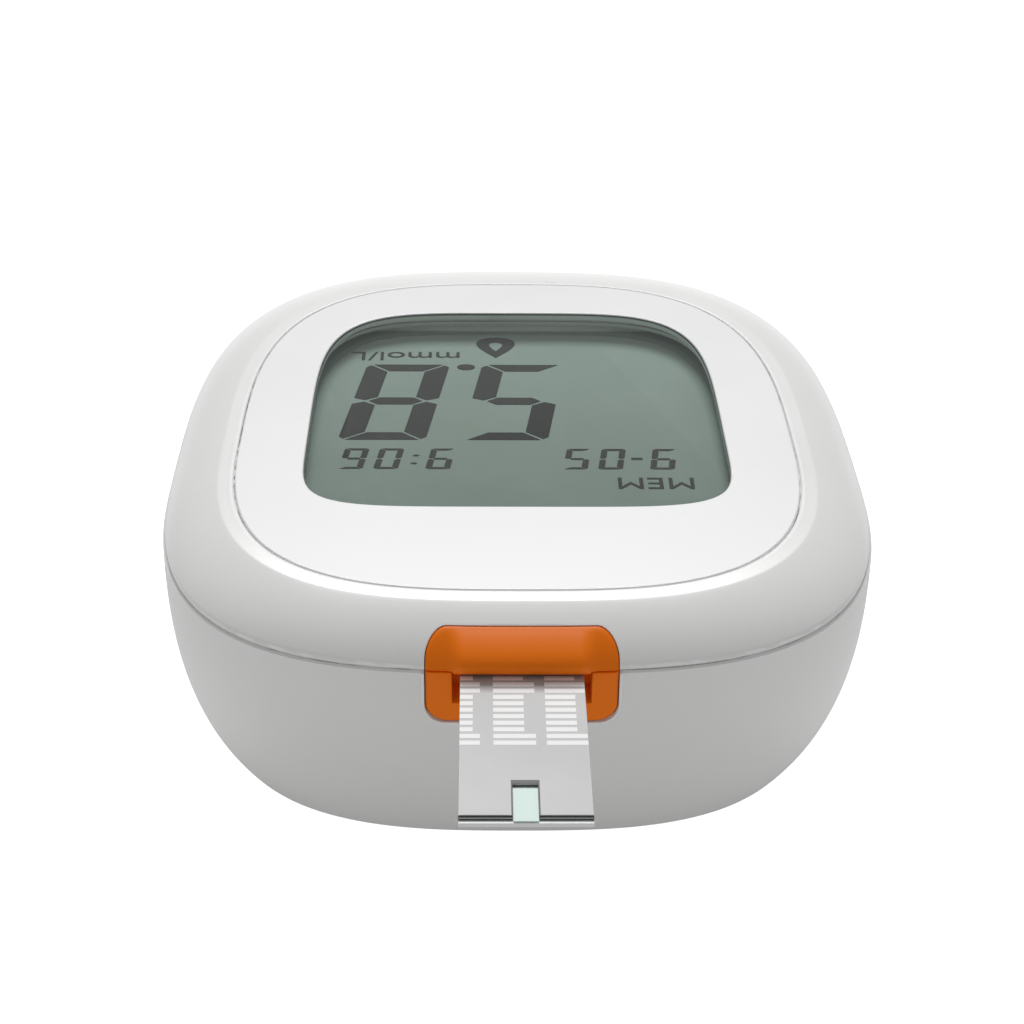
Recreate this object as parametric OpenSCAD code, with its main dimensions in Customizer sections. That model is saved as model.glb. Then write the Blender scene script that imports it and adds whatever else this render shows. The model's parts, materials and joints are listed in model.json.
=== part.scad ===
// Blood glucose meter with a test strip in its port.
// The feet stand on z = 0, +Z is up, and the strip port faces -Y.
// Two-piece case, back-printed face panel, segment display, one circuit board,
// a thumb slider that ejects the strip, and two AAA cells behind a sliding door.

/* [Case] */
// Width of the case at its widest line
case_w = 54.4; // [53.6:0.2:58]
// Length of the case, port end to far end
case_l = 70.4; // [69.6:0.2:76]
// Height of the case from its base face to its face panel
case_h = 22.1; // [21.8:0.1:25]
// Y of the widest line of the outline, which is nearer to the port
widest_y = -5.5; // [-6.5:0.1:-4.5]
// Exponent of the outline: 2 is an ellipse, more is squarer
corner_n = 3.05; // [2.9:0.05:3.4]
// Exponent of the outline at the base
base_n = 2.9; // [2.7:0.05:3.3]
// Depth of the parting line under the panel's top
parting_drop = 3.0; // [2.8:0.1:3.4]
// How far the base lies inside the widest line at the sides
base_inset_side = 4.4; // [3.8:0.1:4.6]
// How far the base lies inside the widest line at the ends
base_inset_end = 7.5; // [6.5:0.1:7.8]
// Power of the lower shell's curve: more keeps the wall upright for longer
bowl_power = 2.46; // [2.2:0.02:3]
// Edge rounding of the base
base_round = 1.0; // [0.6:0.1:1.4]
// Wall of the lower case
wall = 1.8; // [1.6:0.1:2]
// Floor of the lower case
floor_t = 1.6; // [1.5:0.1:1.8]
// Visible gap between the two cases
split_gap = 0.12; // [0.08:0.02:0.2]

/* [Face] */
// Width of the face panel
panel_w = 43.5; // [42.6:0.1:44.4]
// Panel edge to case edge at the port end
panel_near_inset = 6.0; // [5.6:0.1:6.4]
// Panel edge to case edge at the far end
panel_far_inset = 9.7; // [9.2:0.1:10.2]
// Thickness of the face panel
panel_t = 1.1; // [1:0.05:1.2]
// Gap round the face panel
panel_gap = 0.12; // [0.06:0.02:0.2]
// Width of the bright bevel ring round the panel
ring_w = 1.2; // [1:0.1:1.5]
// Drop of the bevel ring across its width
ring_drop = 0.35; // [0.2:0.05:0.5]
// Thickness of the upper case's top under the panel
ceiling_t = 1.4; // [1.3:0.05:1.5]

/* [Display] */
// Width of the window
window_w = 33.0; // [32:0.1:33.6]
// Length of the window
window_l = 36.0; // [35:0.1:36.4]
// Panel edge to window edge at the port end
window_near_gap = 12.3; // [12:0.1:13]
// Outline exponent of the window at its far corners
window_far_n = 4.5; // [4:0.1:5]
// Outline exponent of the window at its near corners
window_near_n = 5.5; // [5:0.1:6]
// Thickness of the lens and its flange together
lens_t = 1.0; // [0.9:0.05:1]
// Thickness of the lens flange
lens_flange_t = 0.5; // [0.4:0.05:0.6]
// Width of the lens flange beyond the window
lens_flange_w = 0.75; // [0.6:0.05:0.9]
// Thickness of each display glass
glass_t = 0.7; // [0.6:0.05:0.75]
// Thickness of each polariser
polariser_t = 0.2; // [0.15:0.01:0.2]
// Cell gap between the two glasses, where the segments lie
cell_gap = 0.04; // [0.03:0.01:0.06]
// Width of the contact ledge of the front glass
ledge_w = 2.9; // [2.6:0.1:3]
// Height of a big digit
digit_h = 14.6; // [13:0.1:15]
// Width of a big digit
digit_w = 7.3; // [6.8:0.1:7.6]
// Stroke of a big digit
digit_stroke = 1.9; // [1.5:0.1:2]
// Height of a small digit
small_h = 3.6; // [3.2:0.1:3.8]
// Width of a small digit
small_w = 2.0; // [1.8:0.1:2.1]
// Stroke of a small digit
small_stroke = 0.45; // [0.35:0.05:0.5]

/* [Board] */
// Thickness of the circuit board
board_t = 1.0; // [0.8:0.1:1]
// Depth of the board's top under the panel's top
board_drop = 5.8; // [5.7:0.05:6]
// Gap between the board's edge and the lip of the upper case
board_gap = 0.35; // [0.25:0.05:0.5]

/* [Strip] */
// Width of the test strip
strip_w = 8.5; // [8:0.1:8.8]
// Length of the test strip
strip_l = 29.2; // [28.5:0.1:31]
// Thickness of the base film
strip_base_t = 0.3; // [0.25:0.01:0.3]
// Thickness of the electrode tracks
electrode_t = 0.03; // [0.02:0.01:0.04]
// Thickness of the spacer
spacer_t = 0.1; // [0.08:0.01:0.12]
// Thickness of the printed cover film
cover_t = 0.12; // [0.1:0.01:0.15]
// Depth of the strip's underside under the parting line
strip_drop = 1.0; // [0.9:0.05:1.1]
// How far the inserted end lies inside the case
strip_insert = 12.8; // [12.4:0.1:13]
// Width of the sample notch in the strip's tip
notch_w = 1.65; // [1.4:0.05:1.9]
// Length of the sample notch
notch_l = 3.9; // [3.4:0.1:4.2]
// Length of the bare electrode end
bare_l = 4.6; // [4.2:0.1:5]

/* [Port] */
// Width of the collar on each side of the slot
collar_rim = 1.85; // [1.6:0.05:2.1]
// Height of the upper collar above the parting line
collar_up = 2.0; // [1.9:0.05:2.2]
// Height of the lower collar under the parting line
collar_down = 4.2; // [3.8:0.1:4.6]
// Corner radius of the collar
collar_r = 1.5; // [1.2:0.1:1.8]
// Room beside the strip in the slot, on each side
slot_margin = 0.55; // [0.4:0.05:0.7]
// Height of the slot at its mouth
slot_h = 2.6; // [2.2:0.1:2.8]
// Radius of the scoop that dishes the collar's face
scoop_r = 5.2; // [4.8:0.1:5.6]
// Depth of the scoop under the case's end
scoop_depth = 0.8; // [0.6:0.05:1]

/* [Ejector] */
// Travel of the ejector
eject_travel = 6.0; // [5:0.1:6.2]
// Width of the ejector's blade
blade_w = 3.0; // [2.6:0.1:3.1]
// How far the ejector's post lies inboard of the thumb pad's middle
post_offset = 1.1; // [1:0.05:1.2]
// Y of the ejector's post at rest
post_y = -4.0; // [-4.4:0.1:-3.6]
// Width of the post, along X
post_w = 2.0; // [1.8:0.1:2.1]
// Length of the post, along Y
post_l = 3.0; // [2.8:0.1:3.2]
// Width of the thumb pad
pad_w = 5.6; // [5:0.1:5.8]
// Length of the thumb pad
pad_l = 9.0; // [8:0.1:9.4]

/* [Buttons] */
// Width of the memory button in the far end
memory_w = 9.0; // [8:0.1:9.6]
// Height of the memory button
memory_h = 4.2; // [3.8:0.1:4.4]
// Travel of the memory button
memory_travel = 0.6; // [0.4:0.05:0.7]
// Diameter of the set button's cap
set_d = 3.4; // [3:0.1:3.8]
// Travel of the set button
set_travel = 0.5; // [0.3:0.05:0.6]
// Y of the set button
set_y = -4.5; // [-5:0.1:-4]
// Clearance round each button
button_gap = 0.15; // [0.1:0.01:0.25]

/* [Battery] */
// Diameter of an AAA cell
cell_d = 10.2; // [9.8:0.1:10.3]
// Length of an AAA cell
cell_l = 44.5; // [43.5:0.1:44.7]
// Space for the contacts at each end of the cells
contact_space = 2.25; // [2:0.05:2.3]
// Gap between the battery bay and the memory switch
bay_switch_gap = 1.2; // [0.6:0.1:1.4]
// How far the battery door reaches beyond the bay on each side
door_margin = 1.6; // [1.5:0.05:1.8]
// Height of the door's upturned far edge above the base face
door_rise = 6.5; // [5.5:0.1:7]
// Gap round the battery door
door_gap = 0.15; // [0.1:0.01:0.2]

/* [Screws and feet] */
// Gap between the battery bay and the bosses of the case screws
screw_bay_gap = 0.8; // [0.6:0.1:1]
// Case screws to the case's port end
screw_inset = 13.7; // [13.5:0.1:13.9]
// Diameter of a case screw
screw_d = 2.0; // [1.8:0.1:2.2]
// Board screws to the board's edge
board_screw_inset = 1.7; // [1.6:0.05:1.8]
// Board screws at the port end to the case's port end
board_near_inset = 20.2; // [20:0.1:20.6]
// Board screws at the far end to the case's far end
board_far_inset = 23.2; // [23:0.1:23.6]
// Diameter of a board screw
board_screw_d = 1.4; // [1.2:0.1:1.5]
// Diameter of a foot
foot_d = 5.0; // [4:0.1:5.2]
// Feet at the port end to the case's port end
foot_near_inset = 20.6; // [20.2:0.1:20.8]
// Feet at the far end to the case's far end
foot_far_inset = 22.2; // [20:0.1:23]
// How far a foot stands below the base
foot_h = 0.5; // [0.4:0.05:0.6]

/* [Hidden] */

eps = 0.01;
far_away = 200;
ring_count = 64;
$fn = 40;

half_w = case_w / 2;
half_l = case_l / 2;
far_reach = half_l - widest_y;
near_reach = half_l + widest_y;

base_z = foot_h;
top_z = base_z + case_h;
part_z = top_z - parting_drop;
ring_z = top_z - ring_drop;
floor_z = base_z + floor_t;
panel_z = top_z - panel_t;
ceiling_z = panel_z - ceiling_t;
board_top = top_z - board_drop;
board_under = board_top - board_t;

lip_gap = 0.15;
lip_t = 0.9;
lip_h = 2.0;
lip_inner = wall + lip_gap + lip_t;
board_inset = lip_inner + board_gap;

// ---------------------------------------------------------------- outlines

function spread(v, p) = sign(v) * pow(abs(v), p);

// A rounded outline: its widest line is at widest_y, and it reaches far and near from there.
function outline(half, far, near, n_far, n_near) = [
    for (i = [0:ring_count - 1])
        let (t = 360 * i / ring_count, back = sin(t) >= 0, p = 2 / (back ? n_far : n_near))
        [half * spread(cos(t), p), widest_y + (back ? far : near) * spread(sin(t), p)]
];

function case_outline(side, far, near, n) =
    outline(half_w - side, far_reach - far, near_reach - near, n, n);

function even(inset) = case_outline(inset, inset, inset, corner_n);

// Half width of the case outline at height y of the plan, moved in by inset.
function half_at(y, inset) =
    let (reach = (y > widest_y ? far_reach : near_reach) - inset)
    (half_w - inset) * pow(1 - pow(abs(y - widest_y) / reach, corner_n), 1 / corner_n);

function lifted(points, z) = [for (p = points) [p[0], p[1], z]];

// A closed solid through a stack of rings, lowest first.
module skin(rings) {
    n = len(rings[0]);
    m = len(rings);
    polyhedron(
        points = [for (r = rings) each r],
        faces = concat(
            [[for (i = [0:n - 1]) i]],
            [for (k = [0:m - 2], i = [0:n - 1], half = [0, 1])
                let (a = k * n + i, b = k * n + (i + 1) % n)
                half == 0 ? [a, a + n, b + n] : [a, b + n, b]],
            [[for (i = [n - 1:-1:0]) (m - 1) * n + i]]
        )
    );
}

module slab(points, low, high) {
    translate([0, 0, low]) linear_extrude(high - low) polygon(points);
}

module block(x0, x1, y0, y1, z0, z1) {
    translate([x0, y0, z0]) cube([x1 - x0, y1 - y0, z1 - z0]);
}

module post(x, y, z0, z1, r) {
    translate([x, y, z0]) cylinder(h = z1 - z0, r = r);
}

// ---------------------------------------------------------------- lower case skin

bowl_top = part_z - split_gap;
bowl_steps = 8;
round_steps = 3;

function bowl_depth(z) = pow(max(part_z - z, 0) / (part_z - base_z), bowl_power);

function edge_inset(z) =
    z >= base_z + base_round ? 0
    : base_round * (1 - sqrt(1 - pow(1 - (z - base_z) / base_round, 2)));

function bowl_ring(z, extra) =
    let (k = bowl_depth(z), e = edge_inset(z) + extra)
    lifted(case_outline(base_inset_side * k + e, base_inset_end * k + e,
                        base_inset_end * k + e, corner_n + (base_n - corner_n) * k), z);

outer_levels = concat(
    [for (i = [0:round_steps - 1]) base_z + base_round * (1 - cos(90 * i / round_steps))],
    [for (i = [0:bowl_steps])
        base_z + base_round + (bowl_top - base_z - base_round) * i / bowl_steps]
);

module bowl_outer() {
    skin([for (z = outer_levels) bowl_ring(z, 0)]);
}

// The hollow of the lower case, with its floor and walls moved in by extra.
module bowl_inner(extra) {
    low = floor_z + extra;
    skin([for (i = [0:bowl_steps])
        bowl_ring(low + (part_z + 1 - low) * i / bowl_steps, wall + extra)]);
}

// ---------------------------------------------------------------- upper case skin

panel_side_inset = half_w - panel_w / 2;
shoulder_low = 20;
shoulder_high = 70;
shoulder_steps = 5;

function shoulder_ring(s) =
    let (
        a = shoulder_low + (shoulder_high - shoulder_low) * s,
        u = (cos(shoulder_low) - cos(a)) / (cos(shoulder_low) - cos(shoulder_high)),
        v = (sin(a) - sin(shoulder_low)) / (sin(shoulder_high) - sin(shoulder_low))
    )
    lifted(case_outline((panel_side_inset - ring_w) * u, (panel_far_inset - ring_w) * u,
                        (panel_near_inset - ring_w) * u, corner_n),
           part_z + (ring_z - part_z) * v);

function panel_outline(grow) =
    case_outline(panel_side_inset - grow, panel_far_inset - grow, panel_near_inset - grow,
                 corner_n);

module shoulder() {
    skin(concat([for (i = [0:shoulder_steps]) shoulder_ring(i / shoulder_steps)],
                [lifted(panel_outline(0), top_z)]));
}

// ---------------------------------------------------------------- window and glass

panel_near_y = -half_l + panel_near_inset;
window_near_y = panel_near_y + window_near_gap;
window_far_y = window_near_y + window_l;

function window_outline(grow) =
    outline(window_w / 2 + grow, window_far_y - widest_y + grow,
            widest_y - window_near_y + grow, window_far_n, window_near_n);

lens_gap = 0.05;
lens_z = top_z - 0.1 - lens_t;
glass_margin = 0.8;
glass_x = window_w / 2 + glass_margin;
glass_far_y = window_far_y + glass_margin;
rear_near_y = window_near_y - glass_margin;
glass_near_y = rear_near_y - ledge_w;
glass_gap = 0.15;
polariser_top = panel_z - 0.1;
front_glass_z = polariser_top - polariser_t - glass_t;
rear_glass_z = front_glass_z - cell_gap - glass_t;
reflector_z = rear_glass_z - polariser_t;
corner_cut = 1.5;

// A glass plate with its far corners cut.
function glass_outline(grow, near_y) = [
    [-glass_x - grow, near_y - grow], [glass_x + grow, near_y - grow],
    [glass_x + grow, glass_far_y + grow - corner_cut],
    [glass_x + grow - corner_cut, glass_far_y + grow],
    [-glass_x - grow + corner_cut, glass_far_y + grow],
    [-glass_x - grow, glass_far_y + grow - corner_cut]
];

// ---------------------------------------------------------------- places

strip_z = part_z - strip_drop;
strip_in_y = -half_l + strip_insert;
strip_out_y = strip_in_y - strip_l;
electrode_z = strip_z + strip_base_t;
spacer_z = electrode_z + electrode_t;
cover_z = spacer_z + spacer_t;
strip_top = cover_z + cover_t;

port_y = -half_l;
slot_w = strip_w + 2 * slot_margin;
collar_w = slot_w + 2 * collar_rim;
collar_depth = 3.9;
collar_in_y = port_y + collar_depth;
collar_gap = 0.1;
slot_depth = 2.6;
channel_side = 0.3;
channel_over = 0.25;
connector_gap = 0.25;
connector_reach = 1.6;
connector_near_y = collar_in_y + connector_gap;
connector_far_y = strip_in_y + connector_reach;
connector_top = ceiling_z - lip_gap;
connector_side = 1.95;
connector_w = strip_w + 2 * connector_side;
slot_clear = 0.15;

memory_z = board_under - 3.0;
memory_switch_l = 3.0;
memory_out = 0.55;
memory_rim = 0.5;

// The case's outside at height z, on the far end's middle line.
function far_wall_y(z) = half_l - base_inset_end * bowl_depth(z);

memory_face_y = far_wall_y(memory_z) + memory_out;
memory_flange_y = far_wall_y(memory_z - memory_h / 2 - memory_rim) - wall - 0.75;
memory_switch_y = memory_flange_y - 1.1;

cell_pitch_gap = 0.9;
cell_side_gap = 0.65;
cell_clear = 0.2;
bay_w = 2 * (cell_d + cell_side_gap) + cell_pitch_gap;
bay_wall = 1.0;
bay_far = memory_switch_y - memory_switch_l - bay_switch_gap - bay_wall;
bay_near = bay_far - cell_l - 2 * contact_space;
bay_y = (bay_near + bay_far) / 2;
bay_outer = bay_w / 2 + bay_wall;
cell_x = (cell_d + cell_pitch_gap) / 2;
cell_z = floor_z + cell_clear + cell_d / 2;
bay_ceiling = cell_z + cell_d / 2 + cell_clear;
bay_roof_t = 0.6;
tab_x = connector_w / 2 + 1.6;

// Middle of the strip of flat base between the battery bay and the base's edge.
side_x = (bay_outer + half_w - base_inset_side - base_round) / 2;
pad_x = -side_x;
post_x = pad_x + post_offset;
set_x = side_x;

door_half = bay_w / 2 + door_margin;
door_near = bay_near - 0.45;
door_top = base_z + door_rise;
tongue_low = base_z + 0.55;
tongue_high = base_z + 1.1;
tongue_out = 0.6;

head_z = base_z + 3.2;
head_h = 1.4;
head_d = screw_d * 1.75;
boss_gap = 0.1;
boss_r = screw_d / 2 + 1.4;
screw_x = bay_outer + screw_bay_gap + boss_r;
screw_y = -half_l + screw_inset;

board_boss_r = 1.5;
board_head_d = board_screw_d * 1.7;

board_screws_at = [for (x = [-1, 1], y = [-half_l + board_near_inset, half_l - board_far_inset])
    [x * (half_at(y, board_inset) - board_screw_inset), y]];

feet_at = [for (x = [-side_x, side_x], y = [-half_l + foot_near_inset, half_l - foot_far_inset])
    [x, y]];
foot_in = 0.5;

pad_recess = 0.9;
pad_gap = 0.2;
pad_near = post_y + 4 - pad_l / 2;
flange_gap = 0.2;
flange_t = 1.0;
flange_z = floor_z + flange_gap;
flange_near = post_y - 5.5;
flange_far = post_y + 7.5;
lug_h = 4.0;
lug_l = 1.5;
spring_r = 1.3;
spring_wire = 0.4;
spring_x = pad_x + 0.2;
spring_z = flange_z + flange_t + spring_r + spring_wire / 2 + 0.05;
spring_turns = 6;
spring_seat_y = flange_near - eject_travel - (spring_turns + 1) * spring_wire - 0.3;

set_cap_z = base_z + 0.35;
set_flange_z = floor_z + 0.05;
set_flange_t = 0.8;
set_stem_d = 2.2;
switch_w = 3.0;
set_switch_h = 2.0;
plunger_h = 0.08;
set_stem_top = board_under - set_switch_h - plunger_h - set_travel - 0.05;

// ---------------------------------------------------------------- case

module screw_boss(x, y, z0, z1, r, bore) {
    difference() {
        post(x, y, z0, z1, r);
        post(x, y, z0 - 1, z1 - 0.8, bore);
    }
}

module collar_block(grow, y0, y1) {
    w = collar_w / 2 + grow - collar_r;
    low = part_z - collar_down - grow + collar_r;
    high = part_z + collar_up + grow - collar_r;
    translate([0, y1, 0]) rotate([90, 0, 0]) linear_extrude(y1 - y0) union() {
        for (x = [-w, w], z = [low, high]) translate([x, z]) circle(r = collar_r);
        translate([-w, low - collar_r]) square([2 * w, high - low + 2 * collar_r]);
        translate([-w - collar_r, low]) square([2 * (w + collar_r), high - low]);
    }
}

hook_w = 4.0;
hook_x = memory_w / 2 + 7.0;
hook_z = part_z - lip_h + 0.3;
hook_h = 0.7;
hook_out = 0.45;

// Two nubs on the lip's far end, or with a grow their pockets in the lower case's wall.
module lip_hooks(grow) {
    intersection() {
        difference() {
            slab(even(wall + lip_gap - hook_out - grow), hook_z - grow, hook_z + hook_h + grow);
            slab(even(wall + lip_gap + lip_t / 2), 0, far_away);
        }
        for (x = [-hook_x, hook_x])
            block(x - hook_w / 2 - grow, x + hook_w / 2 + grow, 0, far_away, 0, far_away);
    }
}

module upper_case() {
    color("white") difference() {
        union() {
            difference() {
                shoulder();
                slab(even(lip_inner), part_z - 1, ceiling_z);
            }
            difference() {
                slab(even(wall + lip_gap), part_z - lip_h, part_z + eps);
                slab(even(lip_inner), part_z - lip_h - 1, part_z + 1);
                block(-memory_w, memory_w, 0, far_away, part_z - lip_h - 1, part_z - 1);
            }
            lip_hooks(0);
            for (x = [-screw_x, screw_x])
                screw_boss(x, screw_y, board_top + boss_gap, ceiling_z + 0.9, boss_r - 0.2,
                           screw_d / 2 - 0.15);
            for (p = board_screws_at)
                screw_boss(p[0], p[1], board_top, ceiling_z + 0.9, board_boss_r,
                           board_screw_d / 2 - 0.1);
        }
        slab(panel_outline(panel_gap), panel_z, top_z + 1);
        slab(glass_outline(glass_gap + 0.05, glass_near_y), ceiling_z - 1, panel_z + 1);
        collar_block(collar_gap, -far_away, collar_in_y + collar_gap);
        block(-connector_w / 2 - channel_side, connector_w / 2 + channel_side, -far_away,
              connector_near_y + connector_side, part_z - lip_h - 1, part_z + eps);
    }
}

module bay_walls() {
    difference() {
        block(-bay_outer, bay_outer, bay_near - bay_wall, bay_far + bay_wall, base_z + 0.5,
              bay_ceiling + bay_roof_t);
        block(-bay_w / 2, bay_w / 2, bay_near, bay_far, 0, bay_ceiling);
        for (x = [-tab_x, tab_x])
            block(x - 1.1, x + 1.1, bay_near - eps, bay_near + 0.6, bay_ceiling - 1,
                  bay_ceiling + bay_roof_t + 1);
    }
}

// Ribs that tie the battery bay to the outer walls.
module bay_ribs() {
    rib_t = 1.0;
    rib_h = 8.0;
    mid_y = bay_far - 16.6;
    far_y = bay_far - 7.3;
    for (at = [[-1, mid_y], [1, mid_y], [-1, far_y], [1, far_y], [1, set_y - 6]])
        block(at[0] > 0 ? bay_outer - eps : -half_w, at[0] > 0 ? half_w : -bay_outer + eps,
              at[1] - rib_t / 2, at[1] + rib_t / 2, floor_z - 0.5, floor_z + rib_h);
}

// Rib that the near end of the ejector spring bears on.
module spring_seat() {
    half = spring_r + 0.5;
    block(spring_x - half, spring_x + half, spring_seat_y - 1, spring_seat_y, floor_z - 0.5,
          spring_z + spring_r);
}

module set_guide() {
    guide_z = set_flange_z + set_flange_t + set_travel + 0.3;
    block(bay_outer - eps, set_x, set_y - 0.5, set_y + 0.5, guide_z, guide_z + 6);
    post(set_x, set_y, guide_z, guide_z + 6, set_stem_d / 2 + button_gap + 0.9);
}

module door_zone(grow) {
    block(-door_half - grow, door_half + grow, door_near - grow, far_away, -1,
          door_top + grow);
}

module lower_case() {
    color("gainsboro") difference() {
        union() {
            difference() {
                bowl_outer();
                bowl_inner(0);
            }
            intersection() {
                union() {
                    bay_walls();
                    bay_ribs();
                    spring_seat();
                    set_guide();
                    for (x = [-screw_x, screw_x])
                        post(x, screw_y, base_z + 0.5, board_under - boss_gap, boss_r);
                }
                bowl_outer();
            }
        }
        intersection() {
            door_zone(door_gap);
            difference() {
                translate([0, 0, -1]) cube([far_away, far_away, 60], center = true);
                bowl_inner(door_gap);
            }
        }
        for (side = [-1, 1])
            block(side * (door_half + 0.4) - 0.5, side * (door_half + 0.4) + 0.5,
                  door_near + 1, far_away, tongue_low - 0.08, tongue_high + 0.08);
        collar_block(collar_gap, -far_away, collar_in_y + collar_gap);
        lip_hooks(split_gap);
        for (x = [-screw_x, screw_x]) {
            post(x, screw_y, -1, head_z + head_h + 0.1, head_d / 2 + 0.15);
            post(x, screw_y, 0, far_away, screw_d / 2 + 0.15);
        }
        for (p = feet_at)
            post(p[0], p[1], -1, base_z + foot_in, foot_d / 2);
        block(pad_x - pad_w / 2 - pad_gap, pad_x + pad_w / 2 + pad_gap,
              pad_near - eject_travel - pad_gap, pad_near + pad_l + pad_gap, -1,
              base_z + pad_recess);
        block(post_x - post_w / 2 - pad_gap, post_x + post_w / 2 + pad_gap,
              post_y - post_l / 2 - eject_travel - pad_gap, post_y + post_l / 2 + pad_gap,
              -1, floor_z + 1);
        post(set_x, set_y, -1, floor_z + 1, set_d / 2 + button_gap);
        post(set_x, set_y, floor_z, floor_z + 12, set_stem_d / 2 + button_gap);
        for (a = [0:60:300])
            post(buzzer_x + sound_ring_r * cos(a), buzzer_y + sound_ring_r * sin(a), -1,
                 floor_z + 1, sound_hole_r);
        post(buzzer_x, buzzer_y, -1, floor_z + 1, sound_hole_r);
        translate([0, memory_flange_y, memory_z]) rotate([-90, 0, 0]) {
            memory_plan(button_gap, 40);
            translate([0, 0, -1]) memory_plan(memory_rim + button_gap, 1.5 + button_gap);
        }
    }
}

module face_panel() {
    color("white") difference() {
        slab(panel_outline(0), panel_z, top_z);
        slab(window_outline(0), panel_z - 1, top_z + 1);
        slab(window_outline(lens_flange_w + lens_gap), panel_z - 1,
             lens_z + lens_flange_t + lens_gap);
    }
}

module display_lens() {
    color([0.85, 0.92, 0.9, 0.4]) union() {
        slab(window_outline(-lens_gap), lens_z + lens_flange_t - eps, lens_z + lens_t);
        slab(window_outline(lens_flange_w), lens_z, lens_z + lens_flange_t);
    }
}

// ---------------------------------------------------------------- port collar

// The dish over the slot.
module port_dish() {
    dish_y = port_y + scoop_depth - scoop_r;
    translate([0, dish_y, part_z]) rotate([0, 90, 0])
        cylinder(h = slot_w, r = scoop_r, center = true);
    for (x = [-slot_w / 2, slot_w / 2])
        translate([x, dish_y, part_z]) sphere(r = scoop_r, $fn = 48);
}

// The slot and the strip's channel behind it.
module port_slot() {
    block(-slot_w / 2, slot_w / 2, -far_away, port_y + slot_depth, part_z - slot_h,
          part_z + eps);
    block(-strip_w / 2 - channel_side, strip_w / 2 + channel_side, -far_away, 0,
          strip_z - channel_side, strip_top + channel_over);
}

module port_collar_upper() {
    color("darkorange") difference() {
        intersection() {
            collar_block(0, -far_away, collar_in_y);
            shoulder();
        }
        port_dish();
        port_slot();
    }
}

module port_collar_lower() {
    color("darkorange") difference() {
        intersection() {
            collar_block(0, -far_away, collar_in_y);
            bowl_outer();
        }
        port_slot();
    }
}

// ---------------------------------------------------------------- battery door

module battery_door() {
    rib_y = bay_far - 6;
    color("gainsboro") union() {
        difference() {
            intersection() {
                door_zone(0);
                difference() {
                    bowl_outer();
                    bowl_inner(0);
                }
            }
            block(-bay_w / 2, bay_w / 2, bay_near, bay_far, floor_z + eps, bay_ceiling);
            for (i = [0:4])
                block(-5, 5, rib_y + i * 1.6, rib_y + i * 1.6 + 0.8, -1, base_z + 0.35);
        }
        for (side = [-1, 1])
            block(side * (door_half + tongue_out / 2 - 0.1) - tongue_out / 2 - 0.1,
                  side * (door_half + tongue_out / 2 - 0.1) + tongue_out / 2,
                  door_near + 2, bay_far - 3, tongue_low, tongue_high);
    }
}

// ---------------------------------------------------------------- fasteners and feet

module pan_screw(x, y, z, head_r, head_t, shank_r, shank_l) {
    translate([x, y, z]) difference() {
        union() {
            cylinder(h = head_t, r = head_r);
            cylinder(h = head_t + shank_l, r = shank_r);
        }
        for (a = [0, 90]) rotate([0, 0, a])
            cube([head_r * 1.1, head_r * 0.25, head_t], center = true);
    }
}

module case_screws() {
    color("silver") for (x = [-screw_x, screw_x])
        pan_screw(x, screw_y, head_z, head_d / 2, head_h, screw_d / 2 - 0.17,
                  ceiling_z - 0.6 - head_z - head_h);
}

module board_screws() {
    head_t = 0.8;
    color("silver") for (p = board_screws_at)
        pan_screw(p[0], p[1], board_under - head_t - 0.02, board_head_d / 2, head_t,
                  board_screw_d / 2 - 0.12, ceiling_z - 0.6 - board_under);
}

module rubber_feet() {
    color("dimgray") for (p = feet_at)
        post(p[0], p[1], 0, base_z + foot_in, foot_d / 2 - 0.05);
}

// ---------------------------------------------------------------- buttons

// Stadium outline of the memory button, drawn with Y down, then swept along +Z.
module memory_plan(grow, depth) {
    r = memory_h / 2 + grow;
    linear_extrude(depth) union() {
        for (x = [-1, 1]) translate([x * (memory_w - memory_h) / 2, 0]) circle(r = r);
        square([memory_w - memory_h, 2 * r], center = true);
    }
}

module memory_button() {
    color("lightgray") union() {
        translate([0, memory_flange_y + 0.5 - eps, memory_z]) rotate([-90, 0, 0])
            memory_plan(0, memory_face_y - memory_flange_y - 0.5);
        translate([0, memory_flange_y, memory_z]) rotate([-90, 0, 0])
            memory_plan(memory_rim, 0.5);
    }
}

module set_button() {
    color("lightgray") union() {
        post(set_x, set_y, set_cap_z, set_flange_z + eps, set_d / 2);
        post(set_x, set_y, set_flange_z, set_flange_z + set_flange_t, set_d / 2 + 0.9);
        post(set_x, set_y, set_flange_z, set_stem_top, set_stem_d / 2);
    }
}

// ---------------------------------------------------------------- ejector

blade_thin = 0.3;
blade_z = strip_z + 0.02;
blade_tip_y = strip_in_y + 0.1;
blade_step_y = connector_far_y + eject_travel + 0.3;
arm_z = board_top + 0.4;
arm_top = arm_z + 1.0;

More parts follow.
